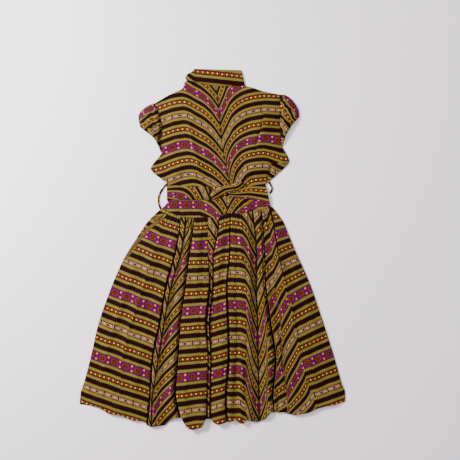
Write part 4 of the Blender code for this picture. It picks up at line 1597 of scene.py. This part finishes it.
@dataclass
class Sash:
    """The sash: two stretches and a twist in front, and a plain stretch under the waist."""

    left: SashStretch = field(default_factory=lambda: SashStretch(
        "belt_front_left",
        ((-151, 216), (-109, 209), (-66, 206), (-24, 207), (7, 205), (29, 208), (48, 209)),
        ((-151, 161), (-118, 163), (-67, 163), (-37, 164), (-12, 161), (18, 170), (46, 178)),
        (4.6, 5.6, 5.6, 5.6, 5.6, 5.6), 2.4,
        ((0.18, 0.07, 1.6), (0.42, 0.06, -1.2), (0.62, 0.09, 1.4), (0.86, 0.06, 1.0)), (0.20, 0.06)))
    right: SashStretch = field(default_factory=lambda: SashStretch(
        "belt_front_right",
        ((60, 193), (86, 197), (118, 207), (148, 208), (178, 207)),
        ((56, 172), (90, 168), (118, 165), (150, 158), (191, 147)),
        (6.6, 5.8, 5.6, 5.6, 4.8), 2.4,
        ((0.14, 0.08, 1.8), (0.34, 0.05, -1.8), (0.52, 0.08, 1.8), (0.7, 0.05, -1.4),
         (0.88, 0.06, 1.2)), (0.14, 0.065)))
    twist: SashStretch = field(default_factory=lambda: SashStretch(
        "belt_twist",
        ((-8, 178), (4, 196), (26, 206), (52, 211), (76, 220), (92, 231)),
        ((4, 163), (20, 172), (44, 181), (66, 187), (86, 196), (104, 208)),
        (7.4, 8.8, 9.6, 9.2, 8.0), 2.6,
        ((0.10, 0.045, 1.6), (0.26, 0.05, 2.2), (0.44, 0.045, 1.8), (0.6, 0.05, 2.4), (0.78, 0.045, 1.6),
         (0.92, 0.04, 1.2)), (0.12, 0.035)))
    back_edges: Point = (158.0, 210.0)
    back_ends: Point = (-149.0, 178.0)

    def finish(
        self,
        stretch: SashStretch,
        level: Array,
        along: Array,
        points: Array,
        cotton: bpy.types.Material,
        middle_and_shade: Array | None = None,
    ) -> None:
        """Make one stretch, its grid turned so that the upper side faces up.

        Args:
            stretch: Which stretch.
            level: The print's level at each point.
            along: Distance along the stripes at each point.
            points: The stretch's points, with rows along it.
            cotton: The printed cotton.
            middle_and_shade: Distance from a chevron's middle line, where there is one.
        """
        points, along, level = (np.swapaxes(grid[:, ::-1], 0, 1) for grid in (points, along, level))
        mark = None if middle_and_shade is None else middle_and_shade[:, ::-1].T
        cut = Cut(stretch.node, stretch.flat, Hold.FOLDED, ("midriff_front",))
        finish_piece(cut, Cloth(points, along, level, mark), SHELL, cotton)

    def make(self, finish: bpy.types.Material) -> None:
        """Make the four stretches."""
        self.make_left(finish)
        self.make_right(finish)
        self.make_twist(finish)
        self.make_back(finish)

    def make_left(self, finish: bpy.types.Material) -> None:
        """The left stretch, whose stripes fall to the point of a V and rise again."""
        points, _, _ = self.left.shape()
        x, y = points[..., 0], points[..., 1]
        magenta_y = graph(((-151, 181), (-120, 178), (-94, 170), (-71, 146), (-48, 112), (-23, 66), (-8, 36),
                           (8, 66), (24, 88), (48, 108)), x)
        squeeze = graph(((-151, 0.5), (-94, 0.8), (-71, 1.0), (-8, 1.0), (20, 0.7), (48, 0.45)), x)
        level = WaxPrint.middle + (y - magenta_y) / squeeze
        along = stripe_length(x.T, level.T, y.T, points[..., 2].T, int(np.argmin(np.abs(x[:, 13] + 8)))).T
        self.finish(self.left, level, along, points, finish, np.abs(along) * 0.45)

    def make_right(self, finish: bpy.types.Material) -> None:
        """The right stretch, with its stripes along it."""
        points, share, across = self.right.shape()
        level = 16.0 + (across + 0 * share) * 74.0
        along = points[..., 0] + 0.0
        self.finish(self.right, level, along, points, finish)

    def make_twist(self, finish: bpy.types.Material) -> None:
        """The twist, a sweep of gathered cloth with its stripes along it."""
        points, share, across = self.twist.shape()
        level = 70.0 + (across + 0 * share) * 56.0 + 6.0 * np.sin(share * 9.0)
        along = np.hypot(points[..., 0] + 6.0, points[..., 1] - 170.0)
        self.finish(self.twist, level, along, points, finish)

    def make_back(self, finish: bpy.types.Material) -> None:
        """The stretch under the waist, flat on the surface."""
        x, y = np.meshgrid(np.linspace(*self.back_ends, 60), np.linspace(*self.back_edges[::-1], 14))
        points = np.stack([x, y, np.full(x.shape, BACK_Z)], axis=2)
        cut = Cut("belt_back", (0.33, 0.055), Hold.LAID, ())
        finish_piece(cut, Cloth(points, x + 0.0, y + 0.0), SHELL, finish)


@dataclass
class BeltLoops:
    """The two carrier straps that stand out from the waist, each a strip sewn into a flat tube."""

    left: tuple[Point, ...] = (
        (-148, 219), (-160, 207), (-170, 192), (-177, 177), (-179, 160), (-177, 146), (-171, 131),
    )
    right: tuple[Point, ...] = ((187, 223), (193, 212), (197, 203), (196, 194), (191, 184))
    width: float = 6.0
    thickness: float = 2.0
    rows: int = 48
    rounds: int = 16

    def make(self, finish: bpy.types.Material) -> None:
        """Make both straps: a flattened circle carried along its route."""
        for node, route in (("belt_loop_left", self.left), ("belt_loop_right", self.right)):
            middle = rounded(route, self.rows)
            way = np.gradient(middle, axis=0)
            way /= np.linalg.norm(way, axis=1)[:, None]
            sideways = np.column_stack([-way[:, 1], way[:, 0]])
            angle = np.linspace(0.0, tau, self.rounds, endpoint=False)[None]
            across = np.cos(angle) * self.width / 2
            up = np.sign(np.sin(angle)) * np.abs(np.sin(angle)) ** 0.6 * self.thickness / 2
            flat = middle[:, None] + sideways[:, None] * across[..., None]
            height = 0.3 + self.thickness / 2 + up + 0.0 * middle[:, :1]
            points = np.concatenate([flat, height[..., None]], axis=2)
            reach = np.linspace(0.0, 1.0, self.rows)[:, None]
            length = float(np.linalg.norm(np.diff(middle, axis=0), axis=1).sum())
            level = WaxPrint.middle + reach * length * 0.9 + np.zeros((1, self.rounds + 1))
            along = np.linspace(0.0, 14.0, self.rounds + 1)[None] + 0.0 * reach
            cut = Cut(node, (0.0145, length * 1.02 * MM), Hold.LAID, ())
            finish_piece(cut, Cloth(points, along, level, ring=True), TUBE_SHELL, finish)


# ---------------------------------------------------------------------------------------------
# Studio


@dataclass
class Studio:
    """Floor, light and camera: straight down on the dress, lit softly from the upper left."""

    aim: Point = (0.058, 0.063)
    height: float = 3.2
    view_width: float = 1.525
    sensor: float = 36.0

    def floor(self) -> None:
        """The pale board, larger than the view."""
        bpy.ops.mesh.primitive_plane_add(size=8.0, location=(0.0, 0.0, -0.0004))
        board = bpy.context.object
        board.name = "pale_board"
        board.data.materials.append(Board().material())

    def lamp(self, name: str, place: tuple[float, float, float], size: float, watts: float) -> None:
        """A square soft light that points at the dress."""
        data = bpy.data.lights.new(name, "AREA")
        data.size = size
        data.energy = watts
        lamp = bpy.data.objects.new(name, data)
        lamp.location = place
        lamp.rotation_euler = (Vector((0.0, 0.0, 0.0)) - Vector(place)).to_track_quat("-Z", "Y").to_euler()
        bpy.context.scene.collection.objects.link(lamp)

    def light(self) -> None:
        """A key from the upper left, a weak fill and an even pale surround."""
        self.lamp("key", (-2.0, 1.0, 1.4), 0.7, 215.0)
        self.lamp("fill", (1.6, 1.2, 2.6), 2.0, 26.0)
        world = bpy.data.worlds.new("surround")
        world.use_nodes = True
        world.node_tree.nodes["Background"].inputs["Color"].default_value = (1.0, 0.985, 1.0, 1.0)
        world.node_tree.nodes["Background"].inputs["Strength"].default_value = 0.82
        bpy.context.scene.world = world

    def camera(self) -> None:
        """A camera straight above, with the collar at the top of the picture."""
        data = bpy.data.cameras.new("camera")
        data.sensor_width = self.sensor
        data.lens = self.sensor * self.height / self.view_width
        camera = bpy.data.objects.new("camera", data)
        camera.location = (*self.aim, self.height)
        bpy.context.scene.collection.objects.link(camera)
        bpy.context.scene.camera = camera


def main() -> None:
    """Build the dress and its setting, and log each piece's cut size and area."""
    logging.basicConfig(level=logging.INFO, format="%(message)s")
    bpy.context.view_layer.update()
    cotton = WaxPrint().material("wax_print_cotton")
    bodice = Bodice()
    plain = bodice.front(cotton)
    bodice.back(cotton)
    armpit_row = 5 * bodice.down
    neck = slice(sum(bodice.across[:3]), sum(bodice.across[:5]) + 1)
    Sleeve("sleeve_left", -1,
           ((-192, 482), (-214, 474), (-230, 461), (-242, 446), (-244, 430), (-239, 404)),
           ((-239, 404), (-224, 391), (-208, 379), (-195, 368), (-186, 356), (-179, 341), (-172, 324)),
           (-0.55, 0.83), (-212, 461), 41).make(plain[: armpit_row + 1, 0, :2], cotton)
    Sleeve("sleeve_right", 1,
           ((225, 511), (240, 509), (257, 498), (273, 479), (284, 459), (286, 436)),
           ((286, 436), (273, 421), (260, 404), (248, 385), (241, 370), (237, 357), (234, 346)),
           (0.84, 0.54), (264, 480), 51).make(plain[: armpit_row + 1, -1, :2], cotton)
    Collar().make(plain[0, neck, :2], cotton)
    skirt = Skirt()
    skirt.front(cotton)
    skirt.back(cotton)
    Midriff(skirt.seam).make(cotton)
    Sash().make(cotton)
    BeltLoops().make(cotton)
    studio = Studio()
    studio.floor()
    studio.light()
    studio.camera()


if __name__ == "__main__":
    main()
